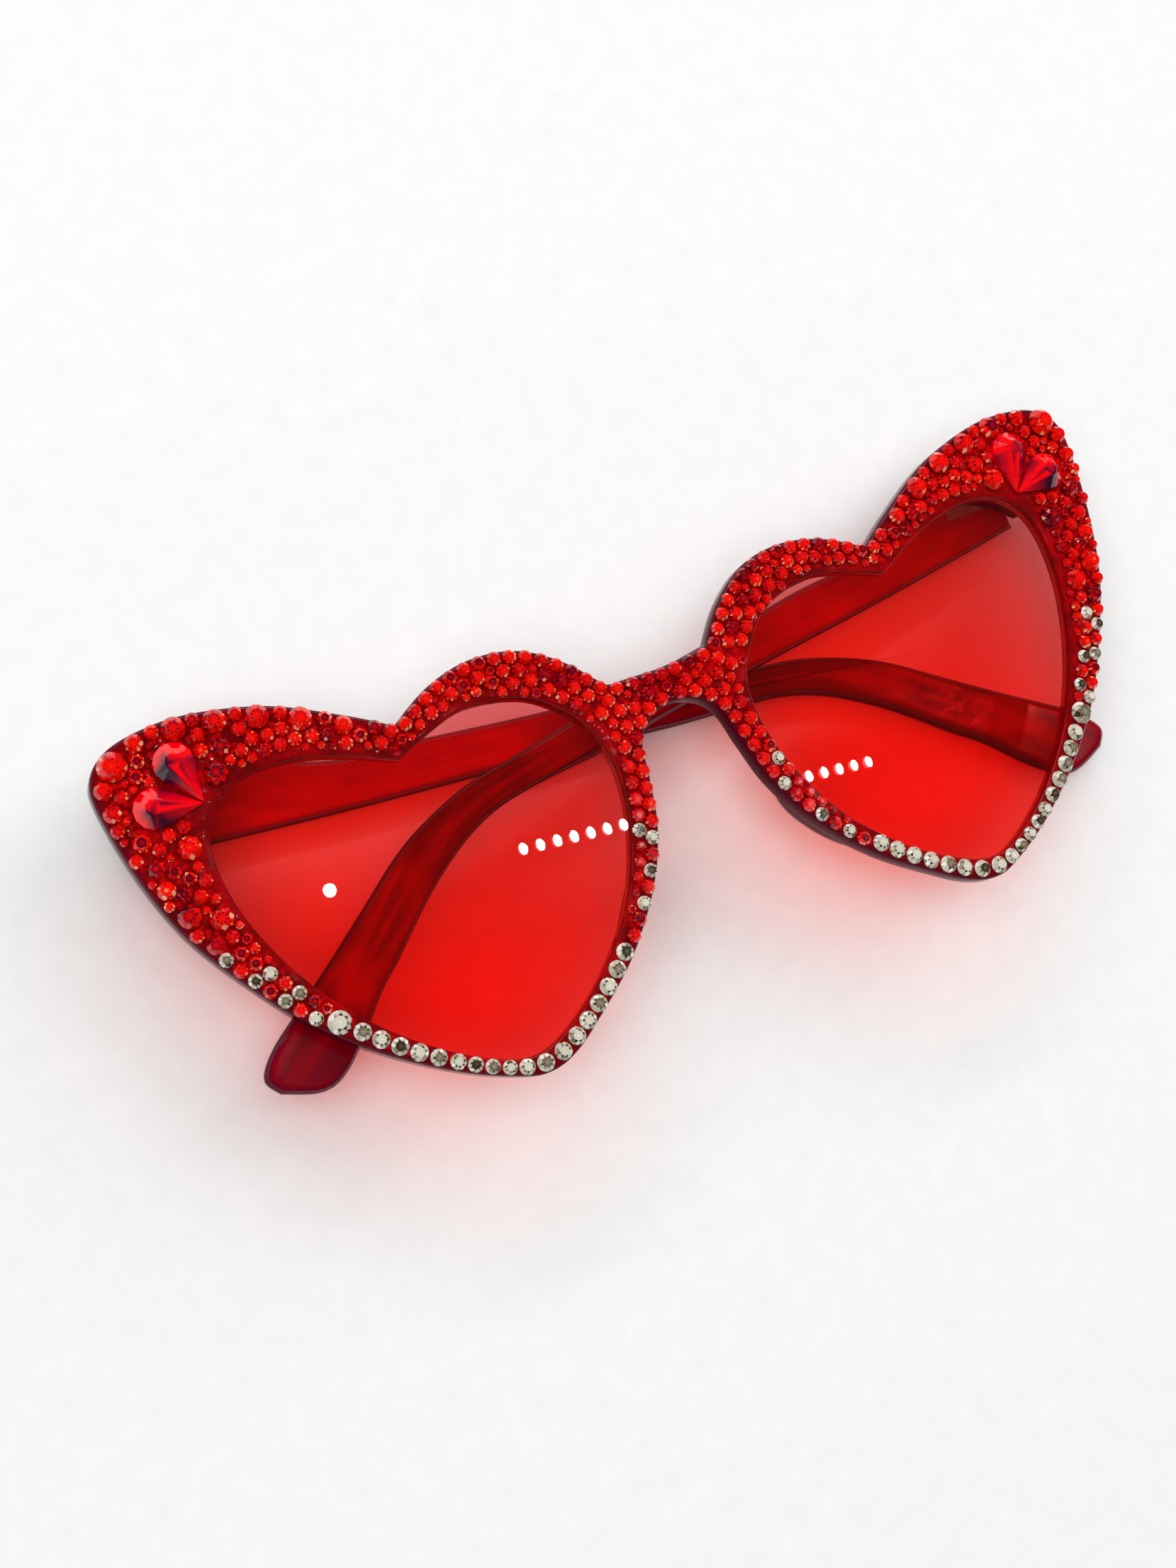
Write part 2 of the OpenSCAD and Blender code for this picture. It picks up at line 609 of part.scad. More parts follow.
front_frame();
lens(1);  // left_lens
lens(-1);  // right_lens
temple(1);  // left_temple
temple(-1);  // right_temple
front_leaf(1);  // left_front_leaf
front_leaf(-1);  // right_front_leaf
temple_leaf(1);  // left_temple_leaf
temple_leaf(-1);  // right_temple_leaf
hinge_screw(1);  // left_hinge_screw
hinge_screw(-1);  // right_hinge_screw
front_rivets(1);  // left_front_rivets
front_rivets(-1);  // right_front_rivets
temple_rivets(1);  // left_temple_rivets
temple_rivets(-1);  // right_temple_rivets
pear_stones(1);  // left_pear_stones
pear_stones(-1);  // right_pear_stones
large_stones(1);  // left_large_stones
large_stones(-1);  // right_large_stones
small_stones(1);  // left_small_stones
small_stones(-1);  // right_small_stones
clear_stones(1);  // left_clear_stones
clear_stones(-1);  // right_clear_stones
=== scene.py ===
import math

import bmesh
import bpy
import numpy as np
from mathutils import Matrix


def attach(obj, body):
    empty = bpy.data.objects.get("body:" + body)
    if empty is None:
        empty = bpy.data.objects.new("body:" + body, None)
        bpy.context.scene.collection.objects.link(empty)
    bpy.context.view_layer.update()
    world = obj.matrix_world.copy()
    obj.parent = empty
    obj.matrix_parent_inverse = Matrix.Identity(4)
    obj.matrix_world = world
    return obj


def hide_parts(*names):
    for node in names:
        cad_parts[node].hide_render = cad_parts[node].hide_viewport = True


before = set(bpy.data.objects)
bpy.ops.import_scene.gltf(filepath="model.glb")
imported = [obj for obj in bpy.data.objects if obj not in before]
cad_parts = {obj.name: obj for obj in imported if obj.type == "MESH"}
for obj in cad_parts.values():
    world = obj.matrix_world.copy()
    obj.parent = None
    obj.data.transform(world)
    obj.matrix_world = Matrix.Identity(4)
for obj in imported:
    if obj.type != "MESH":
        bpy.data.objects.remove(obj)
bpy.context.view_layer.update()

# Front of the glasses. One piece of clear red plastic, moulded flat with both heart rims, the bridge,
# the nose pads and the corner lugs, then bent to fit a face. All its edges are tumbled round.
MM = 0.001
HALF_W, HALF_H = 74.99 * MM, 30.24 * MM
FRONT_T, BEND_R, FACE_Z = 3.6 * MM, 450 * MM, 20.691 * MM
FRONT_ROUND, BACK_ROUND, LIP_ROUND = 0.55 * MM, 0.45 * MM, 0.35 * MM
COLUMNS, CUT_COLUMNS, FACE_ROWS, KNOT_STEPS, FINE_STEPS = 300, 5, 9, 12, 40
CUT_MARGIN, EDGE_MERGE = 0.7 * MM, 0.002 * MM
OUTER_KNOTS = [(0, 0.275), (0.046, 0.25), (0.079, 0.165), (0.094, 0), (0.116, -0.212),
               (0.165, -0.443), (0.252, -0.691), (0.357, -0.889), (0.413, -0.972), (0.459, -1),
               (0.504, -0.977), (0.599, -0.86), (0.707, -0.668), (0.803, -0.44), (0.879, -0.175),
               (0.943, 0.112), (0.981, 0.426), (1, 0.754), (0.991, 0.886), (0.952, 0.968), (0.885, 1),
               (0.797, 0.988), (0.671, 0.899), (0.554, 0.74), (0.481, 0.621)]
LOBE_KNOTS = [(0.481, 0.621), (0.404, 0.724), (0.319, 0.77), (0.232, 0.737), (0.159, 0.618),
              (0.101, 0.45)]
BRIDGE_TOP = 0.436
OPENING_KNOTS = [(0.496, 0.476), (0.577, 0.572), (0.663, 0.638), (0.752, 0.651), (0.82, 0.575),
                 (0.851, 0.397), (0.843, 0.119), (0.797, -0.195), (0.725, -0.476), (0.631, -0.711),
                 (0.536, -0.866), (0.472, -0.909), (0.408, -0.863), (0.315, -0.711), (0.223, -0.469),
                 (0.164, -0.172), (0.144, 0.106), (0.165, 0.317), (0.24, 0.512), (0.347, 0.579),
                 (0.435, 0.532), (0.496, 0.476)]
LENS_CENTRE = np.array([40.38, 2.0]) * MM
PAD_KNOTS = [(0.116, -0.212), (0.136, -0.33), (0.165, -0.443), (0.206, -0.575), (0.252, -0.691)]
PAD_DEPTH, PAD_NEAR, PAD_FAR, PAD_SINK = 3.4 * MM, 0.15 * MM, 2.8 * MM, 0.3 * MM
PAD_POINTS, PAD_FULLNESS = 33, 0.6
LUG_KNOTS = [(0.77, 0.69), (0.825, 0.615), (0.862, 0.53), (0.977, 0.55), (0.977, 0.8289),
             (0.9422, 0.915), (0.77, 0.915)]
LUG_WALL = np.array([(69.52, 16.64), (69.52, 25.08), (73.27, 25.07), (73.27, 16.64)]) * MM
LUG_Z, LUG_WALL_Z, LUG_CORNER_R = (8.1 * MM, 13 * MM), (5.8 * MM, 9 * MM), 0.5 * MM
LUG_ROUND, LUG_WALL_ROUND = 0.3 * MM, 0.45 * MM


def spline(knots, steps):
    """Catmull-Rom curve: between knots b and c it leaves b parallel to c - a and reaches c parallel to
    d - b, where a and d are the knots before and after, at even steps of its parameter."""
    p = np.asarray(knots, float)
    a, b = np.vstack([p[:1], p[:-2]])[:, None], p[:-1, None]
    c, d = p[1:, None], np.vstack([p[2:], p[-1:]])[:, None]
    u = (np.arange(steps) / steps)[None, :, None]
    body = (2 * b + (c - a) * u + (2 * a - 5 * b + 4 * c - d) * u**2
            + (3 * b - a - 3 * c + d) * u**3) / 2
    return np.vstack([body.reshape(-1, p.shape[1]), p[-1:]])


def even(path, count):
    """The same path with `count` points at even distances along it, ends kept."""
    run = np.concatenate([[0], np.cumsum(np.linalg.norm(np.diff(path, axis=0), axis=1))])
    at = np.linspace(0, run[-1], count)
    return np.stack([np.interp(at, run, path[:, k]) for k in range(path.shape[1])], 1)


def mitres(path):
    """For each point of a closed clockwise outline, the vector that moves it a unit outwards: the sum m
    of the left normals of its two sides, times 2 / max(m.m, 1), so that both sides move by a unit."""
    side = np.roll(path, -1, 0) - path
    left = np.stack([-side[:, 1], side[:, 0]], 1) / np.maximum(np.linalg.norm(side, axis=1), 1e-12)[:, None]
    m = left + np.roll(left, 1, 0)
    return m * (2 / np.maximum((m * m).sum(1), 1))[:, None]


def bent_z(x, depth):
    """Height of a point `depth` below the bent face: the cylinder of radius BEND_R - depth about the
    upright axis that lies BEND_R below the face's middle line."""
    return FACE_Z - BEND_R + np.sqrt((BEND_R - depth) ** 2 - x**2)


def ring_quads(rows, columns, close_rows=True, close_columns=True):
    """Faces of a grid of rows x columns vertices, numbered row by row, wound so that a clockwise
    outline whose rows go up and over has its faces outwards."""
    r = np.arange(rows if close_rows else rows - 1)[:, None]
    c = np.arange(columns if close_columns else columns - 1)[None, :]
    r2, c2 = (r + 1) % rows, (c + 1) % columns
    quads = np.stack(np.broadcast_arrays(r * columns + c, r2 * columns + c,
                                         r2 * columns + c2, r * columns + c2), -1)
    return quads.reshape(-1, 4)


def rim_lines():
    """The +X half of the outer edge, points of the lens opening that match it one by one, and the unit
    offsets of both. A point and its match lie at the same angle from the lens's middle. The last few
    points run up the cut through the bridge."""
    size = np.array([HALF_W, HALF_H])
    top = np.array([0, BRIDGE_TOP * HALF_H])
    upper = np.vstack([top, (spline(LOBE_KNOTS, KNOT_STEPS) * size)[::-1]])
    lower = (spline([(-0.046, 0.25)] + OUTER_KNOTS, KNOT_STEPS)[KNOT_STEPS:] * size)[::-1]
    upper_run, lower_run = (np.linalg.norm(np.diff(q, axis=0), axis=1).sum() for q in (upper, lower))
    n = round(COLUMNS * upper_run / (upper_run + lower_run))
    outer = np.vstack([even(upper, n + 1), even(lower, COLUMNS - n)[1:]])
    out_dir = mitres(np.vstack([outer[1] * [-1, 1], outer, outer[-2] * [-1, 1]]))[1:-1]
    out_dir[0], out_dir[-1] = (0, 1), (0, -1)
    cut_y = np.linspace(outer[-1, 1] + CUT_MARGIN, top[1] - CUT_MARGIN, CUT_COLUMNS)
    outer = np.vstack([outer, np.stack([0 * cut_y, cut_y], 1)])
    out_dir = np.vstack([out_dir, np.zeros((CUT_COLUMNS, 2))])

    ray = spline(OPENING_KNOTS, FINE_STEPS) * size - LENS_CENTRE
    angle = np.unwrap(np.arctan2(ray[:, 1], ray[:, 0]))
    wanted = np.arctan2(*(outer - LENS_CENTRE).T[::-1])
    wanted = angle[0] - np.mod(angle[0] - wanted, 2 * math.pi)
    radius = np.interp(-wanted, -angle, np.linalg.norm(ray, axis=1))
    opening = LENS_CENTRE + radius[:, None] * np.stack([np.cos(wanted), np.sin(wanted)], 1)
    return outer, out_dir, opening, mitres(opening)


def quarter(r, steps, rising):
    """Pairs along a quarter circle of radius r: r(1 - cos t) in from an edge, r(1 - sin t) below a face."""
    t = np.linspace(0, math.pi / 2, steps)
    t = t if rising else t[::-1]
    return zip(r * (1 - np.cos(t)), r * (1 - np.sin(t)))


def front_half():
    """The +X half as a closed ring of rows round a section of the rim, each a line, its depth and its two
    masks. Rows near an edge are quarter circles offset along its normals, the rest divide the space
    evenly."""
    outer, out_dir, opening, in_dir = rim_lines()
    rows = [(outer - out_dir * o, FRONT_T - d, (1, 0)) for o, d in quarter(BACK_ROUND, 4, False)]
    rows += [(outer - out_dir * o, d, (1 - 0.6 * o / FRONT_ROUND, 0)) for o, d in quarter(FRONT_ROUND, 6, True)]
    start, end = rows[-1][0], opening + in_dir * LIP_ROUND
    rows += [(start + (end - start) * s, 0, (0, min(1, 3 * (1 - s)))) for s in np.arange(1, FACE_ROWS) / FACE_ROWS]
    rows += [(opening + in_dir * o, d, (0, 0)) for o, d in quarter(LIP_ROUND, 4, False)]
    rows += [(opening + in_dir * o, FRONT_T - d, (0, 0)) for o, d in quarter(LIP_ROUND, 3, True)]
    start, end = rows[-1][0], rows[0][0]
    rows += [(start + (end - start) * s, FRONT_T, (0, 0)) for s in (0.25, 0.5, 0.75)]
    lines, depths, masks = zip(*rows)
    flat = np.stack(lines)
    height = bent_z(flat[..., 0], np.array(depths)[:, None])
    points = np.concatenate([flat, height[..., None]], -1).reshape(-1, 3)
    faces = ring_quads(*flat.shape[:2])
    on_cut = np.abs(points[:, 0]) < 1e-7
    return points, faces[~on_cut[faces].all(1)], np.repeat(np.array(masks), flat.shape[1], axis=0), opening


def rounded_prism(outline, low, high, r):
    """An outline carried from `low` to `high`, its lower edge a quarter circle of radius r, both ends
    closed by one face. The outline runs clockwise."""
    out = mitres(outline)
    t = np.linspace(math.pi / 2, 0, 5)
    rings = [np.c_[outline - out * (r * (1 - math.cos(a))), np.full(len(outline), low + r * (1 - math.sin(a)))]
             for a in t]
    rings.append(np.c_[outline, np.full(len(outline), high)])
    n = len(outline)
    points = np.vstack(rings)
    faces = ring_quads(len(rings), n, close_rows=False).tolist()
    return points, faces + [list(range(n)), list(range(len(points) - n, len(points)))[::-1]]


def rounded(corners, r, steps=5):
    """A convex clockwise outline with each corner replaced by an arc of radius r."""
    p = np.asarray(corners, float)
    before, after = np.roll(p, 1, 0) - p, np.roll(p, -1, 0) - p
    before /= np.linalg.norm(before, axis=1)[:, None]
    after /= np.linalg.norm(after, axis=1)[:, None]
    half = np.arccos(np.clip((before * after).sum(1), -1, 1)) / 2
    middle = before + after
    middle /= np.linalg.norm(middle, axis=1)[:, None]
    centre = p + middle * (r / np.sin(half))[:, None]
    start = p + before * (r / np.tan(half))[:, None] - centre
    end = p + after * (r / np.tan(half))[:, None] - centre
    t = np.linspace(0, 1, steps)[None, :, None]
    arc = start[:, None] * (1 - t) + end[:, None] * t
    arc *= r / np.linalg.norm(arc, axis=2)[..., None]
    return (centre[:, None] + arc).reshape(-1, 2)


def nose_pad():
    """A rounded wall behind the nose side of the rim. Its section is a U between two lines parallel to
    the rim's edge, and its depth follows a circle through both ends of the pad."""
    path = even(spline(PAD_KNOTS, KNOT_STEPS) * [HALF_W, HALF_H], PAD_POINTS)
    along = np.gradient(path, axis=0)
    along /= np.linalg.norm(along, axis=1)[:, None]
    inward = np.stack([-along[:, 1], along[:, 0]], 1)
    reach = PAD_DEPTH + FRONT_T / 2
    chord = path[-1] - path[0]
    half = np.linalg.norm(chord) / 2
    s = (path - (path[0] + path[-1]) / 2) @ chord / (2 * half)
    arch_r = (half**2 + reach**2) / (2 * reach)
    deep = np.sqrt(np.maximum(arch_r**2 - s**2, 0)) - (arch_r - reach)
    top = bent_z((path[0, 0] + path[-1, 0]) / 2, FRONT_T / 2)
    t = np.linspace(0, math.pi, 13)
    swing = np.sign(np.cos(t)) * np.abs(np.cos(t)) ** PAD_FULLNESS
    across = (PAD_NEAR + PAD_FAR) / 2 - (PAD_FAR - PAD_NEAR) / 2 * swing
    down = np.abs(np.sin(t)) ** PAD_FULLNESS
    down[[0, -1]] = 0
    flat = path[:, None] + inward[:, None] * across[None, :, None]
    z = top - deep[:, None] * down[None, :] + PAD_SINK * (down[None, :] == 0)
    points = np.concatenate([flat, z[..., None]], -1)
    n, m = flat.shape[:2]
    faces = ring_quads(n, m, close_rows=False).tolist()
    return points.reshape(-1, 3), faces + [list(range(m)), list(range((n - 1) * m, n * m))[::-1]]


def outward(points, faces):
    """The same faces, all turned over if they shut in a negative volume. Six times that volume is the sum
    of the triple products of the corners of the triangles that fan out from each face's first corner."""
    sizes = np.array([len(f) for f in faces])
    corners = np.concatenate([np.asarray(f) for f in faces])
    starts = np.repeat(np.cumsum(sizes) - sizes, sizes)
    nth = np.arange(len(corners)) - starts
    b = np.flatnonzero((nth > 0) & (nth < np.repeat(sizes, sizes) - 1))
    six_volumes = (points[corners[starts[b]]] * np.cross(points[corners[b]], points[corners[b + 1]])).sum()
    return [list(f) if six_volumes > 0 else list(f)[::-1] for f in faces]


def mirrored(points, faces):
    """The part on the other side of the middle plane: x changes sign and the faces turn over."""
    return points * [-1, 1, 1], [list(f)[::-1] for f in faces]


def joined(parts):
    """Several (points, faces) as one pair, the faces renumbered."""
    points, faces, start = [], [], 0
    for p, f in parts:
        points.append(p)
        faces += [[int(i) + start for i in g] for g in f]
        start += len(p)
    return np.vstack(points), faces


def piece(name, points, faces, material, masks=None, merge=0.0, smooth=35):
    """A mesh object from points in metres, with float attributes on its points or its faces, doubles
    closer than `merge` joined, and edges sharper than `smooth` degrees left sharp."""
    mesh = bpy.data.meshes.new(name)
    mesh.from_pydata(np.asarray(points).tolist(), [], [list(map(int, f)) for f in faces])
    for key, values in (masks or {}).items():
        a = mesh.attributes.new(key, "FLOAT", "POINT" if len(values) == len(points) else "FACE")
        a.data.foreach_set("value", np.asarray(values, np.float32))
    if merge:
        bm = bmesh.new()
        bm.from_mesh(mesh)
        bmesh.ops.remove_doubles(bm, verts=bm.verts, dist=merge)
        bm.to_mesh(mesh)
        bm.free()
    if smooth:
        mesh.shade_smooth()
        mesh.set_sharp_from_angle(angle=math.radians(smooth))
    mesh.materials.append(material)
    made = bpy.data.objects.new(name, mesh)
    bpy.context.scene.collection.objects.link(made)
    return made


def group(name, inputs, outputs):
    """An empty node group with these sockets, and its input and output nodes."""
    tree = bpy.data.node_groups.new(name, "ShaderNodeTree")
    for label, kind, value in inputs:
        s = tree.interface.new_socket(label, in_out="INPUT", socket_type=kind)
        if value is not None:
            s.default_value = value
    for label, kind in outputs:
        tree.interface.new_socket(label, in_out="OUTPUT", socket_type=kind)
    return tree, tree.nodes.new("NodeGroupInput"), tree.nodes.new("NodeGroupOutput")


def feed(tree, node, values):
    """Sets inputs of a node, by name or number, each to a value or to the socket that feeds it."""
    for k, v in values.items():
        if isinstance(v, bpy.types.NodeSocket):
            tree.links.new(v, node.inputs[k])
        else:
            node.inputs[k].default_value = v


def add(tree, kind, values=None, **settings):
    """A new node with its settings, and with its inputs fed."""
    node = tree.nodes.new(kind)
    for k, v in settings.items():
        setattr(node, k, v)
    feed(tree, node, values or {})
    return node


def maths(tree, operation, *values, clamp=False):
    """The result of a maths node."""
    return add(tree, "ShaderNodeMath", dict(enumerate(values)), operation=operation, use_clamp=clamp).outputs[0]


def remap(tree, value, low, high, to_low=0.0, to_high=1.0, kind="LINEAR"):
    """A value carried from the range low to high into another range, and held at its ends."""
    return add(tree, "ShaderNodeMapRange", {0: value, 1: low, 2: high, 3: to_low, 4: to_high},
               interpolation_type=kind).outputs[0]


def mark(tree, name):
    """A float attribute of the mesh."""
    return add(tree, "ShaderNodeAttribute", attribute_name=name).outputs["Fac"]


def mix_colours(tree, factor, a, b, blend="MIX"):
    """A colour mix."""
    return add(tree, "ShaderNodeMix", {0: factor, 6: a, 7: b}, data_type="RGBA", blend_type=blend).outputs[2]


def material(name, tint=None, **values):
    """A Principled material with these socket values. With a tint, rays on their way to a lamp see
    Transparent of that colour instead, which is how dyed plastic colours its own shadow."""
    m = bpy.data.materials.new(name)
    m.use_nodes = True
    tree = m.node_tree
    shader = tree.nodes["Principled BSDF"]
    feed(tree, shader, {k.replace("_", " "): v for k, v in values.items()})
    if tint:
        to_lamp = add(tree, "ShaderNodeLightPath").outputs["Is Shadow Ray"]
        clear = add(tree, "ShaderNodeBsdfTransparent", {0: (*tint, 1)})
        both = add(tree, "ShaderNodeMixShader", {0: to_lamp, 1: shader.outputs[0], 2: clear.outputs[0]})
        feed(tree, tree.nodes["Material Output"], {"Surface": both.outputs[0]})
    return m, tree, shader


def dress(tree, shader, kind, values):
    """Feeds a shader from a node group of this kind with these values, by all the outputs it has."""
    look = add(tree, "ShaderNodeGroup", values, node_tree=kind)
    for key, socket in (("Color", "Base Color"), ("Roughness", "Roughness"), ("Specular", "Specular IOR Level"),
                        ("Normal", "Normal")):
        if key in look.outputs:
            tree.links.new(look.outputs[key], shader.inputs[socket])


# Dyed plastic, for the front and the temples: a deep colour, and a clearer one along faint flow lines and as
# painted light where light would gather in the plastic; painted sparkle in the middle of each glue bead with
# painted shade between beads; painted shade on walls seen edge on; a polish that is not quite flat.
plastic, g_in, g_out = group(
    "Dyed plastic and painted light",
    [("Deep", "NodeSocketColor", (0.1, 0, 0.01, 1)), ("Clear", "NodeSocketColor", (0.3, 0, 0.01, 1)),
     ("Wall", "NodeSocketColor", (0.08, 0.005, 0.03, 1)), ("Wall Mask", "NodeSocketFloat", 0.0),
     ("Painted Light", "NodeSocketFloat", 0.0), ("Grain", "NodeSocketFloat", 120.0),
     ("Ripple", "NodeSocketFloat", 0.05), ("Glue Mask", "NodeSocketFloat", 0.0)],
    [("Color", "NodeSocketColor"), ("Roughness", "NodeSocketFloat"), ("Specular", "NodeSocketFloat"),
     ("Normal", "NodeSocketVector")])
where = add(plastic, "ShaderNodeTexCoord").outputs["Object"]
flow = add(plastic, "ShaderNodeTexNoise", {"Vector": where, "Scale": g_in.outputs["Grain"], "Detail": 3.0,
                                           "Roughness": 0.55, "Distortion": 0.6}).outputs[0]
fine = add(plastic, "ShaderNodeTexNoise", {"Vector": where, "Scale": 900.0, "Detail": 2.0}).outputs[0]
bead = add(plastic, "ShaderNodeTexVoronoi", {"Vector": where, "Scale": 1100.0}, feature="F1").outputs["Distance"]
# Painted sparkle in the middle of each glue bead and painted shade at its edge, plus the flow lines' clearer tone.
glue_sparkle_and_flow = maths(plastic, "MULTIPLY_ADD", remap(plastic, bead, 0.2, 0.6, 0.9, -0.3), g_in.outputs["Glue Mask"],
              remap(plastic, flow, 0.35, 0.68, 0.0, 0.45))
lit = maths(plastic, "ADD", glue_sparkle_and_flow, g_in.outputs["Painted Light"], clamp=True)
inside = mix_colours(plastic, lit, g_in.outputs["Deep"], g_in.outputs["Clear"])
wave = add(plastic, "ShaderNodeBump", {"Strength": g_in.outputs["Ripple"], "Distance": 0.0004, "Height": flow})
lumps = add(plastic, "ShaderNodeBump", {"Strength": g_in.outputs["Glue Mask"], "Distance": 0.0006,
                                        "Height": bead, "Normal": wave.outputs[0]})
# Colour: painted shade on the walls, the darker Wall colour where the wall mask is high.
feed(plastic, g_out, {
    "Color": mix_colours(plastic, g_in.outputs["Wall Mask"], inside, g_in.outputs["Wall"]),
    "Roughness": remap(plastic, fine, 0.3, 0.7, 0.05, 0.13),
    "Specular": remap(plastic, g_in.outputs["Wall Mask"], 0.7, 0.95, 0.5, 0.02),
    "Normal": lumps.outputs[0]})

front_red, tree, shader = material("Front plastic", tint=(0.22, 0.015, 0.02), IOR=1.49)
face = mark(tree, "face")
# The face gets a touch of painted light and the glue beads' painted sparkle and shade; walls, lugs and pads the
# painted wall shade.
dress(tree, shader, plastic, {
    "Deep": (0.15, 0.0, 0.001, 1), "Clear": (0.65, 0.0, 0.002, 1), "Wall": (0.09, 0.0, 0.01, 1),
    "Grain": 220.0, "Ripple": 0.1, "Wall Mask": mark(tree, "wall"),
    "Glue Mask": maths(tree, "MULTIPLY", face, 0.7), "Painted Light": maths(tree, "MULTIPLY", face, 0.12)})

half_points, half_faces, half_mask, opening_line = front_half()
lug = rounded(np.array(LUG_KNOTS)[::-1] * [HALF_W, HALF_H], LUG_CORNER_R)
solids = (rounded_prism(lug, *LUG_Z, LUG_ROUND),
          rounded_prism(rounded(LUG_WALL, LUG_CORNER_R), *LUG_WALL_Z, LUG_WALL_ROUND), nose_pad())
half = joined([(half_points, half_faces.tolist())] + [(p, outward(p, f)) for p, f in solids])
both = joined([half, mirrored(*half)])
wall_mask = np.concatenate([half_mask[:, 0], np.ones(len(half[0]) - len(half_mask))])
face_mask = np.concatenate([half_mask[:, 1], np.zeros(len(half[0]) - len(half_mask))])
front = piece("front_shell", *both, front_red, merge=EDGE_MERGE, smooth=50,
              masks={"wall": np.tile(wall_mask, 2), "face": np.tile(face_mask, 2)})
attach(front, "front")
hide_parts("front_frame")

# Lenses. Each is cut from a dyed sheet, polished, bent with the front and snapped into a groove round
# its opening. The dye takes out green and blue. The colour is paler towards the top: painted light, for the
# unfiltered light on the table under the top of each lens.
LENS_RECESS, LENS_T, LENS_GAP, LENS_RINGS = 0.9 * MM, 1.8 * MM, 0.06 * MM, 14

lens_glass, tree, shader = material(
    "Lens", tint=(1.0, 0.22, 0.07), Roughness=0.0, IOR=1.45, Transmission_Weight=1.0)
place = add(tree, "ShaderNodeSeparateXYZ", {0: add(tree, "ShaderNodeTexCoord").outputs["Object"]})
# Painted light: the lens colour is paler towards the top.
painted_top_light = remap(tree, place.outputs[1], -0.02, 0.019, kind="SMOOTHSTEP")
feed(tree, shader, {"Base Color": mix_colours(tree, painted_top_light, (1, 0.06, 0.05, 1), (1, 0.23, 0.23, 1))})


def lens_mesh(name, side):
    """Both faces are rings that shrink evenly from the opening's outline to one middle point, on the
    bent cylinder at the lens's depth, and a wall joins them. Normals are those of the cylinder."""
    line = opening_line + mitres(opening_line) * LENS_GAP
    line = line[np.r_[True, np.linalg.norm(np.diff(line, axis=0), axis=1) > 1e-6]] * [side, 1]
    line = line if side > 0 else line[::-1]
    centre = LENS_CENTRE * [side, 1]
    shrink = 1 - np.arange(LENS_RINGS) / LENS_RINGS
    flat = np.vstack([(centre + (line - centre) * shrink[:, None, None]).reshape(-1, 2), centre])
    points = np.vstack([np.c_[flat, bent_z(flat[:, 0], d)] for d in (LENS_RECESS, LENS_RECESS + LENS_T)])
    n, m = len(line), len(flat)
    quads = ring_quads(LENS_RINGS, n, close_rows=False).tolist()
    last = (LENS_RINGS - 1) * n
    face = quads + [[last + i, m - 1, last + (i + 1) % n] for i in range(n)]
    back = [[i + m for i in f][::-1] for f in face]
    rim = [[i, (i + 1) % n, m + (i + 1) % n, m + i] for i in range(n)]
    made = piece(name, points, face + back + rim, lens_glass, smooth=180)
    mesh = made.data
    axis = np.array([0, 0, FACE_Z - BEND_R])
    radial = (points - axis) * [1, 0, 1]
    radial /= np.linalg.norm(radial, axis=1)[:, None]
    out = mitres(line)
    out = np.c_[out / np.linalg.norm(out, axis=1)[:, None], np.zeros(n)]
    loops = np.zeros(len(mesh.loops), int)
    mesh.loops.foreach_get("vertex_index", loops)
    normals = radial[loops]
    sizes = np.array([len(f) for f in face + back + rim])
    kind = np.repeat(np.repeat([0, 1, 2], [len(face), len(back), len(rim)]), sizes)
    normals[kind == 1] *= -1
    normals[kind == 2] = out[loops[kind == 2] % m]
    mesh.normals_split_custom_set(normals.tolist())
    return made


for label, side in (("left", 1), ("right", -1)):
    lens = lens_mesh(f"{label}_lens_sheet", side)
    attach(lens, "front")
    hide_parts(f"{label}_lens")

# Temples. Each is a flat bar of the same plastic, cut to a curve with a hooked end, tumbled until its
# edges are round, and held by one screw. Both are folded, the left one on top of the right.
TEMPLE_LEN, TEMPLE_T, TEMPLE_DROP = 135.5 * MM, 2.9 * MM, 43.8 * MM
PIN_X, PIN_Z, PIN_OFF, HINGE_Y = 67.5 * MM, 5.5 * MM, 2.6 * MM, 22.6 * MM
FOLD_PAST = {"left": math.radians(4.2), "right": 0.0}
TEMPLE_ROUND, TEMPLE_COLUMNS, TEMPLE_ROWS = 1.05 * MM, 150, 8
TOP_KNOTS = [(0, -0.114), (0.0704, -0.082), (0.1367, 0.014), (0.2029, 0.082), (0.2771, 0.107),
             (0.3651, 0.148), (0.4314, 0.176), (0.5421, 0.228), (0.646, 0.281), (0.6974, 0.308),
             (0.7488, 0.361), (0.7933, 0.429), (0.8447, 0.539), (0.9041, 0.667), (0.9486, 0.758),
             (0.9842, 0.836), (1, 0.904), (0.9901, 0.959)]
LOW_KNOTS = [(0, 0.16), (0.0852, 0.196), (0.1584, 0.226), (0.2326, 0.253), (0.3582, 0.295),
             (0.4541, 0.326), (0.5461, 0.365), (0.6311, 0.388), (0.6756, 0.411), (0.7122, 0.452),
             (0.7488, 0.516), (0.7864, 0.6), (0.8339, 0.726), (0.8635, 0.799), (0.8981, 0.909),
             (0.9288, 0.984), (0.9545, 1), (0.9901, 0.959)]


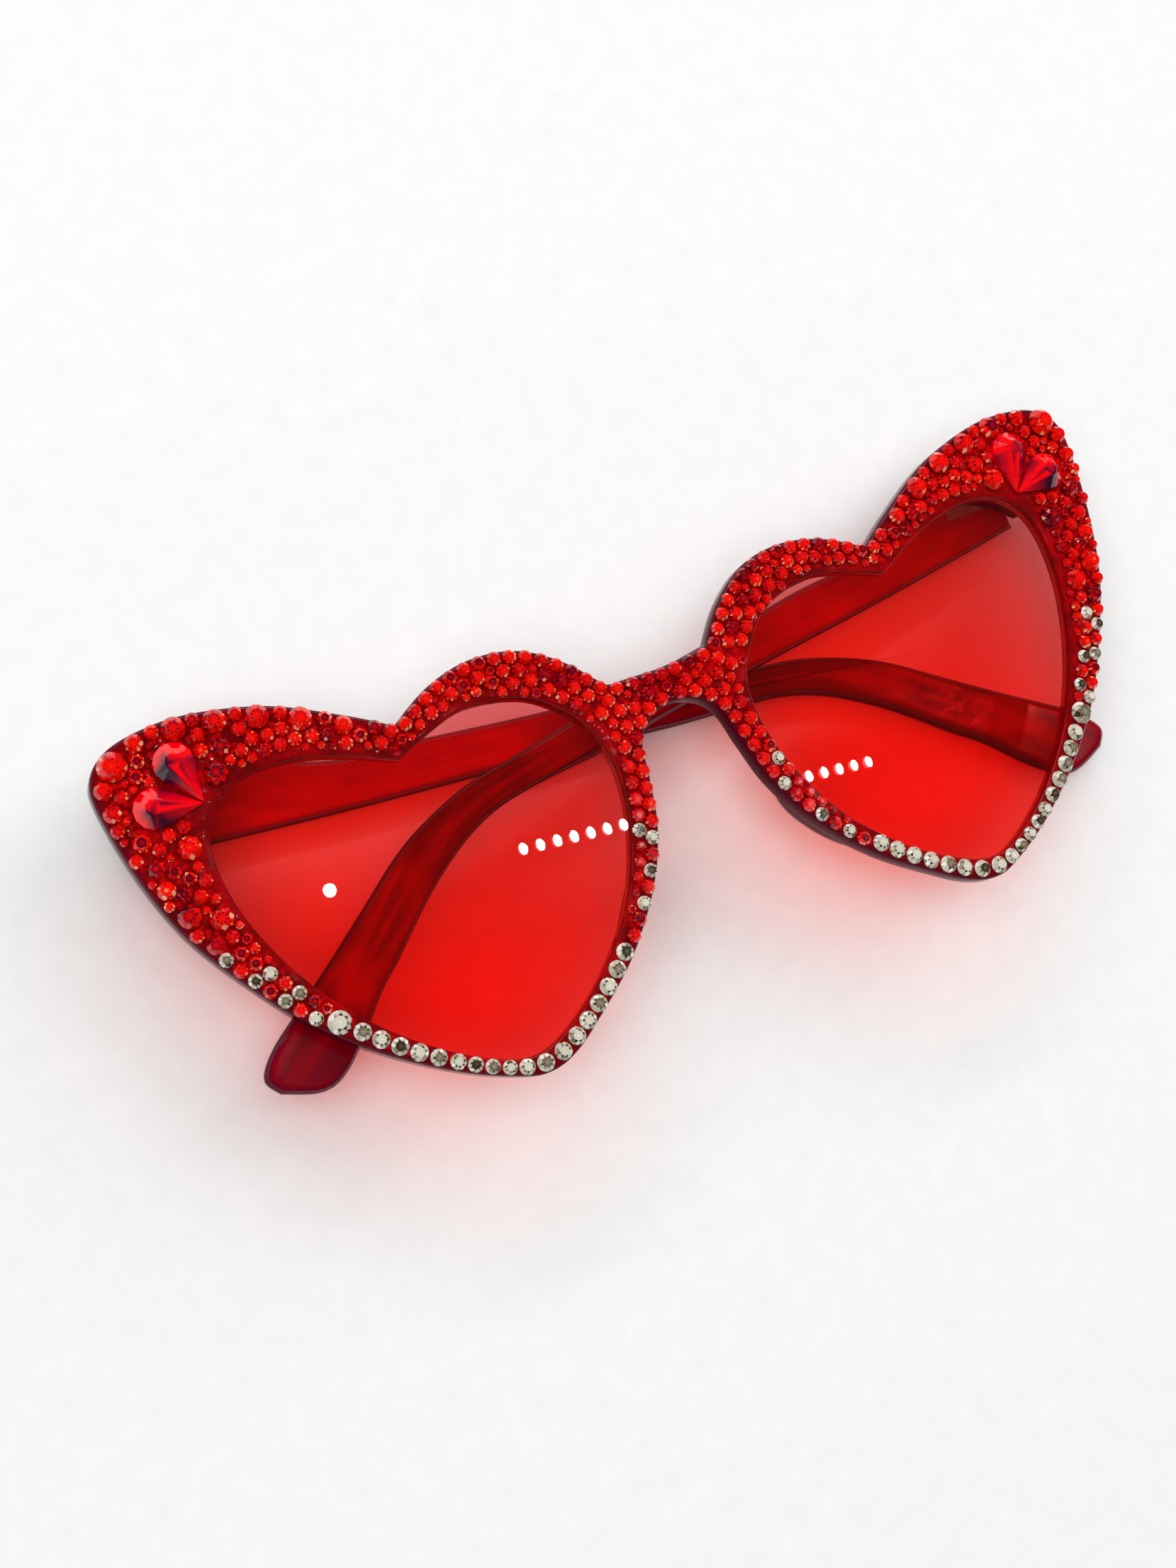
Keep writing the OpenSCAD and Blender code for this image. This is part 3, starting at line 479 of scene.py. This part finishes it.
def temple_mesh(side, fold):
    """A slab whose outline runs out along the top edge and back along the lower one. Its edges are two
    quarter circles, and each flat side is ruled between a point of the top edge and its partner below.
    The slab is turned about the hinge pin by the fold."""
    top, low = (even(spline(q, KNOT_STEPS), TEMPLE_COLUMNS) * [-TEMPLE_LEN, -TEMPLE_DROP] + [0, HINGE_Y]
                for q in (TOP_KNOTS, LOW_KNOTS))
    line = np.vstack([low[:-1], top[::-1]])
    out = mitres(line)
    off, rise = np.array(list(quarter(TEMPLE_ROUND, 6, False))).T
    rings = [np.c_[line - out * o, np.full(len(line), r)] for o, r in zip(off, rise)]
    rings += [np.c_[line - out * o, np.full(len(line), TEMPLE_T - r)] for o, r in zip(off[::-1], rise[::-1])]
    n = len(line)
    points = np.vstack(rings)
    faces = ring_quads(len(rings), n, close_rows=False).tolist()
    wall = np.repeat(np.concatenate([1 - off / TEMPLE_ROUND, 1 - off[::-1] / TEMPLE_ROUND]), n)
    across = np.zeros(len(points))
    s = np.linspace(0, 1, TEMPLE_ROWS + 1)
    near = np.repeat(np.abs(2 * s - 1), TEMPLE_COLUMNS)
    k = np.arange(TEMPLE_COLUMNS)
    mate = np.r_[n - 1 - k[:-1], TEMPLE_COLUMNS - 1]
    grids = []
    for ring, flip in ((rings[0], False), (rings[-1], True)):
        grid = (ring[k] * (1 - s[:, None, None]) + ring[mate] * s[:, None, None]).reshape(-1, 3)
        f = ring_quads(TEMPLE_ROWS + 1, TEMPLE_COLUMNS, close_rows=False, close_columns=False).tolist()
        grids.append((grid, [g[::-1] for g in f] if flip else f))
        wall = np.concatenate([wall, np.zeros(len(grid))])
        across = np.concatenate([across, 1 - near])
    points, faces = joined([(points, faces)] + grids)
    run = -points[:, 0] / TEMPLE_LEN
    points = points + [0, 0, -PIN_OFF - TEMPLE_T]
    c, s = math.cos(fold), math.sin(fold)
    points = np.c_[points[:, 0] * c + points[:, 2] * s, points[:, 1], points[:, 2] * c - points[:, 0] * s]
    points = points + [PIN_X, 0, PIN_Z]
    if side < 0:
        points, faces = mirrored(points, faces)
    return points, faces, wall, across, run


temple_red, tree, shader = material("Temple plastic", tint=(0.6, 0.03, 0.04), IOR=1.49)
# Painted light: lighter and darker lengthwise streaks, more light near the hinge end and painted shade towards the
# hook; the rounded edges take the painted wall shade.
run = mark(tree, "run")
drawn = add(tree, "ShaderNodeCombineXYZ", {0: maths(tree, "MULTIPLY", run, 14.0),
                                           1: maths(tree, "MULTIPLY", mark(tree, "across"), 1.6)})
streaks = add(tree, "ShaderNodeTexNoise", {"Vector": drawn.outputs[0], "Scale": 1.0, "Detail": 1.5,
                                           "Roughness": 0.5}).outputs[0]
painted_light_and_streaks = maths(tree, "ADD", remap(tree, streaks, 0.3, 0.7, -0.2, 0.25),
             remap(tree, run, 0.25, 0.75, 0.6, -0.15, "SMOOTHSTEP"))
dress(tree, shader, plastic, {
    "Deep": (0.17, 0.0, 0.006, 1), "Clear": (0.62, 0.0, 0.004, 1), "Wall": (0.09, 0.0, 0.016, 1),
    "Grain": 45.0, "Ripple": 0.3, "Wall Mask": mark(tree, "wall"), "Painted Light": painted_light_and_streaks})

for label, side in (("left", 1), ("right", -1)):
    p, f, wall_m, across_m, run_m = temple_mesh(side, FOLD_PAST[label])
    temple = piece(f"{label}_temple_bar", p, outward(p, f), temple_red, merge=EDGE_MERGE, smooth=50,
                   masks={"wall": wall_m, "across": across_m, "run": run_m})
    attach(temple, f"{label}_temple")
    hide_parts(f"{label}_temple")

# Hinges. Stamped and plated steel leaves with rolled knuckles, riveted on, each with one turned screw.
# The CAD nodes are kept, with plated metal that is duller in its brushing lines.
metal, g_in, g_out = group(
    "Plated metal",
    [("Tone", "NodeSocketColor", (0.8, 0.78, 0.72, 1)), ("Lines", "NodeSocketFloat", 900.0)],
    [("Color", "NodeSocketColor"), ("Roughness", "NodeSocketFloat"), ("Normal", "NodeSocketVector")])
where = add(metal, "ShaderNodeTexCoord").outputs["Object"]
stretch = add(metal, "ShaderNodeMapping", {0: where, "Scale": (1.0, 12.0, 12.0)}).outputs[0]
brush = add(metal, "ShaderNodeTexNoise", {"Vector": stretch, "Scale": g_in.outputs["Lines"], "Detail": 4.0,
                                          "Roughness": 0.7}).outputs[0]
bump = add(metal, "ShaderNodeBump", {"Strength": 0.2, "Distance": 0.00002, "Height": brush})
feed(metal, g_out, {
    "Color": mix_colours(metal, brush, g_in.outputs["Tone"], (0.45, 0.42, 0.38, 1), "MULTIPLY"),
    "Roughness": remap(metal, brush, 0.3, 0.7, 0.18, 0.4), "Normal": bump.outputs[0]})
for name, tone, nodes in (
        ("Hinge metal", (0.9, 0.82, 0.66, 1), ("left_front_leaf", "right_front_leaf",
                                               "left_temple_leaf", "right_temple_leaf")),
        ("Screw steel", (0.8, 0.8, 0.82, 1), ("left_hinge_screw", "right_hinge_screw")),
        ("Rivet metal", (0.78, 0.77, 0.72, 1), ("left_front_rivets", "right_front_rivets",
                                                "left_temple_rivets", "right_temple_rivets"))):
    m, tree, shader = material(name, Metallic=0.5)
    dress(tree, shader, metal, {"Tone": tone})
    for node in nodes:
        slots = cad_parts[node].data.materials
        slots.clear()
        slots.append(m)

# Round stones. Foil-backed glass with a flat table and two rings of facets, bedded in clear cement.
# Each facet has a painted tone, a painted reflection of the room in its foil: lighter towards the light,
# with painted highlights on a few facets and painted shade on the walls.
GIRDLE, TABLE, STONE_H, FOOT, CEMENT = 0.12, 0.56, 0.46, 0.9, 0.05 * MM
MIDDLE_R, MIDDLE_H, STONE_FIT, TURN_RANGE = 0.4, 0.335, 0.998, 6.3
TABLE_CUT, STAR_CUT, KITE_CUT, LOW_CUT, WALL_CUT, FOOT_CUT = range(6)


def stone_places(node):
    """Where the stones of a CAD node stand and how wide each is. Points at the same place are one, the
    lowest number in each island is spread along its edges until nothing changes, and an island's mean
    and its extent in Y give its axis and diameter."""
    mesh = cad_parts[node].data
    co = np.zeros(len(mesh.vertices) * 3)
    mesh.vertices.foreach_get("co", co)
    spots, one = np.unique(np.round(co.reshape(-1, 3) * 1e6).astype(int), axis=0, return_inverse=True)
    one = one.ravel()
    ends = np.zeros(len(mesh.edges) * 2, int)
    mesh.edges.foreach_get("vertices", ends)
    a, b = one[ends[::2]], one[ends[1::2]]
    island = np.arange(len(spots))
    while True:
        low = np.minimum(island[a], island[b])
        new = island.copy()
        np.minimum.at(new, a, low)
        np.minimum.at(new, b, low)
        new = new[new]
        if (new == island).all():
            break
        island = new
    spots = spots * 1e-6
    found = []
    for k in np.unique(island):
        p = spots[island == k]
        d = p[:, 1].max() - p[:, 1].min()
        mean = p.mean(0)
        rise = CEMENT + (GIRDLE + STONE_H) * d / 3
        found.append((mean[0] / (1 + rise / BEND_R), mean[1], d))
    return np.array(found)


def gem():
    """A stone of unit diameter: a wall from foot to girdle, eight kites and eight stars round the table,
    sixteen small facets at the girdle. Returns its points, its faces and each face's middle and cut."""
    def ring(count, r, z, shift=0.0):
        """Points at even angles on a circle of radius r at height z."""
        a = 2 * math.pi * (np.arange(count) + shift) / count
        return np.stack([r * np.cos(a), r * np.sin(a), np.full(count, z)], 1)
    points = np.vstack([ring(16, FOOT / 2, 0), ring(16, 0.5, GIRDLE), ring(8, MIDDLE_R, MIDDLE_H, 0.5),
                        ring(8, TABLE / 2, STONE_H)])
    f, g, m, t = 0, 16, 32, 40
    cuts = [(TABLE_CUT, range(t, t + 8)), (FOOT_CUT, range(f + 15, f - 1, -1))]
    for i in range(8):
        low, between, high = g + 2 * i, g + 2 * i + 1, g + (2 * i + 2) % 16
        cuts += [(STAR_CUT, (t + i, m + i, t + (i + 1) % 8)), (KITE_CUT, (t + i, m + (i - 1) % 8, low, m + i)),
                 (LOW_CUT, (m + i, low, between)), (LOW_CUT, (m + i, between, high))]
    cuts += [(WALL_CUT, (g + i, f + i, f + (i + 1) % 16, g + (i + 1) % 16)) for i in range(16)]
    faces = [list(face) for _, face in cuts]
    return points, faces, np.array([points[q].mean(0) for q in faces]), np.array([kind for kind, _ in cuts])


def turned(points, a):
    """Turned by the angle a about Z."""
    c, s = math.cos(a), math.sin(a)
    return np.c_[points[:, 0] * c - points[:, 1] * s, points[:, 0] * s + points[:, 1] * c, points[:, 2:]]


def set_on_face(points, x, y):
    """Lays points drawn on the XY plane onto the bent face at x, y, a cement layer above it."""
    a = math.asin(x / BEND_R)
    c, s = math.cos(a), math.sin(a)
    p = points + [0, 0, CEMENT]
    return np.c_[p[:, 0] * c + p[:, 2] * s, p[:, 1], p[:, 2] * c - p[:, 0] * s] + [x, y, bent_z(x, 0)]


def red_painted_tones(kind, centres, rng):
    """Red glass: a bright table, painted light on the facets that falls off to deep red away from the light,
    painted shade on the walls, tones that differ at random from stone to stone, and painted highlights on one or
    two facets of some stones.
    """
    light = centres[:, :2] @ np.array([0.55, -0.83])
    tone = np.array([0.58, 0.6, 0.54, 0.42, 0.08, 0.08])[kind]
    tone = tone + (0.34 * light + rng.normal(0, 0.12, len(kind))) * (kind != TABLE_CUT)
    tone += rng.normal(0, 0.06) - 0.24 * (rng.random() < 0.16)
    if rng.random() < 0.12:
        tone[0] = 0.22
    if rng.random() < 0.4:
        tone[rng.choice(np.flatnonzero(kind >= KITE_CUT), rng.integers(1, 3), replace=False)] = 0.98
    return np.clip(tone, 0, 1)


def clear_painted_tones(kind, centres, rng):
    """Clear glass over champagne foil: painted light, pale grey on the side toward the light and warm on the
    other, and in some stones a painted dark reflection in the table.
    """
    light = centres[:, :2] @ np.array([-0.6, 0.8])
    tone = np.array([0.45, 0.3, 0.62, 0.55, 0.12, 0.12])[kind]
    tone = tone + rng.normal(0, 0.22, len(kind)) + 0.35 * light * (kind != TABLE_CUT)
    tone[0] = rng.choice([0.12, 0.3, 0.62, 0.75])
    return np.clip(tone, 0, 1)


facet, g_in, g_out = group(
    "Painted facet tone",
    [("Dark", "NodeSocketColor", (0.03, 0, 0.005, 1)), ("Low", "NodeSocketColor", (0.2, 0, 0.005, 1)),
     ("Body", "NodeSocketColor", (0.8, 0, 0, 1)), ("Painted Glint", "NodeSocketColor", (1, 0.7, 0.65, 1)),
     ("Tone", "NodeSocketFloat", 0.5), ("Cut", "NodeSocketVector", None), ("Star", "NodeSocketFloat", 0.3)],
    [("Color", "NodeSocketColor"), ("Roughness", "NodeSocketFloat")])


def step(level, low, high):
    """Rises smoothly from 0 to 1 as the level goes from low to high."""
    return remap(facet, level, low, high, kind="SMOOTHSTEP")


# Painted light: the tone and a painted star and rings, for the facets below seen through the table, run from dark
# through low and body red to a painted highlight; a fine cloud varies it at random and sets the roughness.
where = add(facet, "ShaderNodeTexCoord").outputs["Object"]
cloud = add(facet, "ShaderNodeTexNoise", {"Vector": where, "Scale": 1500.0, "Detail": 2.0}).outputs[0]
place = add(facet, "ShaderNodeSeparateXYZ", {0: g_in.outputs["Cut"]})
away = add(facet, "ShaderNodeVectorMath", {0: g_in.outputs["Cut"]}, operation="LENGTH").outputs["Value"]
angle = maths(facet, "ARCTAN2", place.outputs[1], place.outputs[0])
arms = maths(facet, "COSINE", maths(facet, "MULTIPLY", angle, 8.0))
rings = maths(facet, "COSINE", maths(facet, "MULTIPLY", away, 14.0))
level = maths(facet, "MULTIPLY_ADD", cloud, 0.22, g_in.outputs["Tone"])
for pattern in (arms, rings):
    level = maths(facet, "MULTIPLY_ADD", pattern, g_in.outputs["Star"], level)
level = maths(facet, "SUBTRACT", level, 0.11)
shade = mix_colours(facet, step(level, 0.05, 0.35), g_in.outputs["Dark"], g_in.outputs["Low"])
shade = mix_colours(facet, step(level, 0.3, 0.62), shade, g_in.outputs["Body"])
shade = mix_colours(facet, step(level, 0.8, 0.95), shade, g_in.outputs["Painted Glint"])
feed(facet, g_out, {"Color": shade, "Roughness": remap(facet, cloud, 0.3, 0.7, 0.03, 0.12)})


def stone_material(name, dark, low, body, painted_glint, star, **values):
    """Glass over foil: the facet group's painted light and reflection, with a painted star of this
    strength for the facets below seen through the table, under a polished surface."""
    m, tree, shader = material(name, IOR=1.55, **values)
    cut = add(tree, "ShaderNodeCombineXYZ", {0: mark(tree, "cut_x"), 1: mark(tree, "cut_y")})
    dress(tree, shader, facet, {
        "Dark": (*dark, 1), "Low": (*low, 1), "Body": (*body, 1), "Painted Glint": (*painted_glint, 1),
        "Tone": mark(tree, "tone"), "Star": star, "Cut": cut.outputs[0]})
    return m


gem_points, gem_faces, gem_middles, gem_cuts = gem()
# Each stone material lists its dark, low and body colours, then the colour of its painted highlights.
red_stone = stone_material(
    "Red stones", (0.04, 0, 0.006), (0.38, 0, 0.005), (0.92, 0.004, 0.0), (1, 0.5, 0.26), 0.11)
clear_stone = stone_material(
    "Clear stones", (0.03, 0.02, 0.01), (0.25, 0.2, 0.13), (0.66, 0.62, 0.5), (1, 1, 0.95), 0.07)
for label in ("left", "right"):
    for kind_name, tones, mat, slot, seed in (
            ("large", red_painted_tones, red_stone, "red_stone", 3), ("small", red_painted_tones, red_stone, "red_stone", 5),
            ("clear", clear_painted_tones, clear_stone, "clear_stone", 9)):
        rng = np.random.default_rng(seed + (label == "left"))
        parts, painted_facet_tones = [], []
        for x, y, d in stone_places(f"{label}_{kind_name}_stones"):
            turn = rng.random() * TURN_RANGE
            parts.append((set_on_face(turned(gem_points, turn) * d * STONE_FIT, x, y), gem_faces))
            painted_facet_tones.append(tones(gem_cuts, turned(gem_middles, turn), rng))
        cuts = np.tile(gem_points, (len(parts), 1))
        made = piece(f"{label}_{kind_name}_gems", *joined(parts), mat, smooth=0,
                     masks={"tone": np.concatenate(painted_facet_tones), "cut_x": cuts[:, 0], "cut_y": cuts[:, 1]})
        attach(made, "front")
        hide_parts(f"{label}_{kind_name}_stones")

# Pear stones. Two large drops of red glass meet with their points at each cat-eye corner, cut with a
# big table and long facets, and glued like the round ones.
PEAR_LEN, PEAR_W, PEAR_H = 9.0992 * MM, 5.49945 * MM, 2.09935 * MM
PEAR_POINT, PEAR_SPREAD, PEAR_TURNS = (0.831 * HALF_W, 0.608 * HALF_H), 0.02 * PEAR_W, (74, 15)
PEAR_TABLE_R, PEAR_BEVEL = 0.19 * PEAR_W, 0.09 * MM


def pear():
    """The hull of a drop outline and a small eight-sided table above the middle of its round end. The
    outline is two straight sides from the point that touch a circle; the hull's edges are the cuts."""
    middle = PEAR_LEN - PEAR_W / 2
    turn = math.acos(PEAR_W / 2 / middle)
    a = (math.pi - turn) * (2 * np.arange(9) / 8 - 1)
    line = np.vstack([[0, 0], np.c_[middle + PEAR_W / 2 * np.cos(a), PEAR_W / 2 * np.sin(a)]])
    b = 2 * math.pi * (np.arange(8) + 0.5) / 8
    table = np.c_[middle + PEAR_TABLE_R * np.cos(b), PEAR_TABLE_R * np.sin(b), np.full(8, PEAR_H)]
    ring = np.c_[line, np.full(len(line), GIRDLE * PEAR_W)]
    foot = np.c_[line, np.zeros(len(line))]
    bm = bmesh.new()
    for q in np.vstack([foot, ring, table]):
        bm.verts.new(q)
    bmesh.ops.convex_hull(bm, input=bm.verts)
    bmesh.ops.dissolve_limit(bm, angle_limit=math.radians(2), verts=bm.verts, edges=bm.edges)
    bmesh.ops.recalc_face_normals(bm, faces=bm.faces)
    bm.verts.index_update()
    points = np.array([v.co[:] for v in bm.verts])
    faces = [[v.index for v in f.verts] for f in bm.faces]
    normals = np.array([f.normal[:] for f in bm.faces])
    bm.free()
    return points, faces, normals


pear_glass = stone_material(
    "Pear stones", (0.04, 0, 0.016), (0.5, 0, 0.012), (1.0, 0.0, 0.004), (1, 0.45, 0.4), 0.0, Coat_Weight=0.6)
pear_points, pear_faces, pear_normals = pear()
for label, side in (("left", 1), ("right", -1)):
    parts, painted_facet_tones = [], []
    for turn, seed in zip(PEAR_TURNS, (21, 34)):
        rng = np.random.default_rng(seed + side)
        a = math.radians(turn)
        x, y = PEAR_POINT[0] + math.cos(a) * PEAR_SPREAD, PEAR_POINT[1] + math.sin(a) * PEAR_SPREAD
        parts.append((set_on_face(turned(pear_points, a), x, y), pear_faces))
        # Painted light: facets lighter towards the light, painted shade on the walls and towards the round end,
        # tones that differ at random, and an even tone on the table.
        light = turned(pear_normals, a)[:, :2] * [side, 1] @ np.array([0.5, -0.86])
        upright = pear_normals[:, 2]
        tone = np.where(upright > 0.98, 0.6, np.where(upright < 0.2, 0.15, 0.8 + 0.28 * light))
        tone = tone + rng.normal(0, 0.08, len(tone)) * (upright < 0.98)
        tone -= 0.5 * np.maximum(pear_normals[:, 0] - 0.35, 0)
        painted_facet_tones.append(np.clip(tone, 0, 0.8))
    p, f = joined(parts)
    if side < 0:
        p, f = mirrored(p, f)
    made = piece(f"{label}_pear_gems", p, f, pear_glass, masks={"tone": np.concatenate(painted_facet_tones)}, smooth=0)
    bevel = made.modifiers.new("Polished edges", "BEVEL")
    bevel.width, bevel.segments, bevel.limit_method = PEAR_BEVEL, 1, "ANGLE"
    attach(made, "front")
    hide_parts(f"{label}_pear_stones")

# Table. A smooth white board that the glasses lie on, face up, with the faintest paper grain. Far from
# them, where the lamps no longer reach it, it fades into the white of the room behind.
BOARD_HALF, BOARD_LINES = 2.0, 13
board, tree, shader = material("Table", Roughness=0.6, Specular_IOR_Level=0.1)
where = add(tree, "ShaderNodeTexCoord").outputs["Object"]
grain = add(tree, "ShaderNodeTexNoise", {"Vector": where, "Scale": 260.0, "Detail": 4.0}).outputs[0]
paper = mix_colours(tree, remap(tree, grain, 0.3, 0.7), (0.9, 0.9, 0.895, 1), (0.93, 0.93, 0.925, 1))
away = add(tree, "ShaderNodeVectorMath", {0: where}, operation="LENGTH").outputs["Value"]
rays = add(tree, "ShaderNodeLightPath").outputs
seen = maths(tree, "MAXIMUM", rays["Is Camera Ray"], rays["Is Glossy Ray"])
seen = maths(tree, "MAXIMUM", seen, rays["Is Transmission Ray"])
far = maths(tree, "MULTIPLY", seen, remap(tree, away, 0.25, 0.8, kind="SMOOTHSTEP"))
feed(tree, shader, {"Base Color": mix_colours(tree, far, paper, (0, 0, 0, 1)),
                    "Emission Color": (0.96, 0.96, 0.96, 1), "Emission Strength": far})
line = np.linspace(-BOARD_HALF, BOARD_HALF, BOARD_LINES)
x, y = (q.ravel() for q in np.meshgrid(line, line, indexing="ij"))
quads = ring_quads(BOARD_LINES, BOARD_LINES, close_rows=False, close_columns=False)[:, ::-1]
table = piece("table_top", np.c_[x, y, np.full(len(x), -0.2 * MM)], quads.tolist(), board, smooth=0)

# Light. Pale walls low down, a wide pale ceiling, a soft lamp on the left, a window low on the right, a
# long tube, and small ceiling lamps, one round and two rows, whose images show in the lenses.
world = bpy.data.worlds.new("Room")
bpy.context.scene.world = world
world.use_nodes = True
room = world.node_tree
toward = add(room, "ShaderNodeSeparateXYZ", {0: add(room, "ShaderNodeTexCoord").outputs["Generated"]})
walls = remap(room, toward.outputs[2], 0.08, 0.22, 0.95, 0.05, "SMOOTHSTEP")
feed(room, room.nodes["Background"], {"Color": (1, 1, 1, 1), "Strength": walls})


def soft_lamp(name, place, size, radiance, squash=1.0):
    """An oval area lamp that faces the glasses. Its power is radiance times pi times its area."""
    data = bpy.data.lights.new(name, "AREA")
    data.shape, data.size, data.size_y = "ELLIPSE", size, size * squash
    data.energy = radiance * math.pi * math.pi / 4 * size * size * squash
    lamp = bpy.data.objects.new(name, data)
    bpy.context.scene.collection.objects.link(lamp)
    away = np.array(place) / np.linalg.norm(place)
    across = np.array([1, 0, 0]) - away * away[0]
    across /= np.linalg.norm(across)
    turn = np.eye(4)
    turn[:3, 0], turn[:3, 1], turn[:3, 2], turn[:3, 3] = across, np.cross(away, across), away, place
    lamp.matrix_world = Matrix(turn.tolist())
    return lamp


for name, place, size, radiance in (
        ("Ceiling", (0, 0.6, 1.5), 2.7, 1.0), ("Lamp", (-0.6, 0, 1.5), 1.2, 2.9),
        ("Window", (1.44, 0.42, 0.9), 1.5, 2.2)):
    lamp = soft_lamp(name, place, size, radiance)
    lamp.visible_glossy = lamp.visible_transmission = False
    lamp.data.cycles.use_multiple_importance_sampling = False
soft_lamp("Tube", (0.3, 2.0, 1.4), 2.4, 12, 0.05)
SPOT_HEIGHT, SPOT_RADIANCE = 1.517, 150
spots = [(-0.073, 0.103, 0.0205, 0.48)]
spots += [(0.239 + 0.029 * k, 0.078 - 0.0018 * k, 0.0135, 0.66) for k in range(7)]
spots += [(0.779 + 0.0335 * k, 0.051 - 0.0015 * k, 0.0135, 0.66) for k in range(5)]
for k, (x, y, size, squash) in enumerate(spots):
    soft_lamp(f"Spot_{k}", (x, y, SPOT_HEIGHT), size, SPOT_RADIANCE, squash)

# Camera, where the photograph was taken from: about 36 cm away, above the right-hand heart.
eye = np.array([-122.27344533, -19.76188882, 335.5754849]) * MM
right = np.array([0.87978712, -0.39051596, 0.27105701])
down = np.array([-0.35108467, -0.91821676, -0.18335083])
ahead = np.array([0.32049052, 0.06614574, -0.94493945])
data = bpy.data.cameras.new("Camera")
focal_pixels, picture_height = 3588.289, 2212
data.sensor_width, data.lens, data.clip_start, data.clip_end = 36, focal_pixels * 36 / picture_height, 0.01, 20
camera = bpy.data.objects.new("Camera", data)
bpy.context.scene.collection.objects.link(camera)
turn = np.eye(4)
turn[:3, 0], turn[:3, 1], turn[:3, 2], turn[:3, 3] = right, -down, -ahead, eye
camera.matrix_world = Matrix(turn.tolist())
bpy.context.scene.camera = camera
bpy.context.scene.view_settings.view_transform = "Standard"
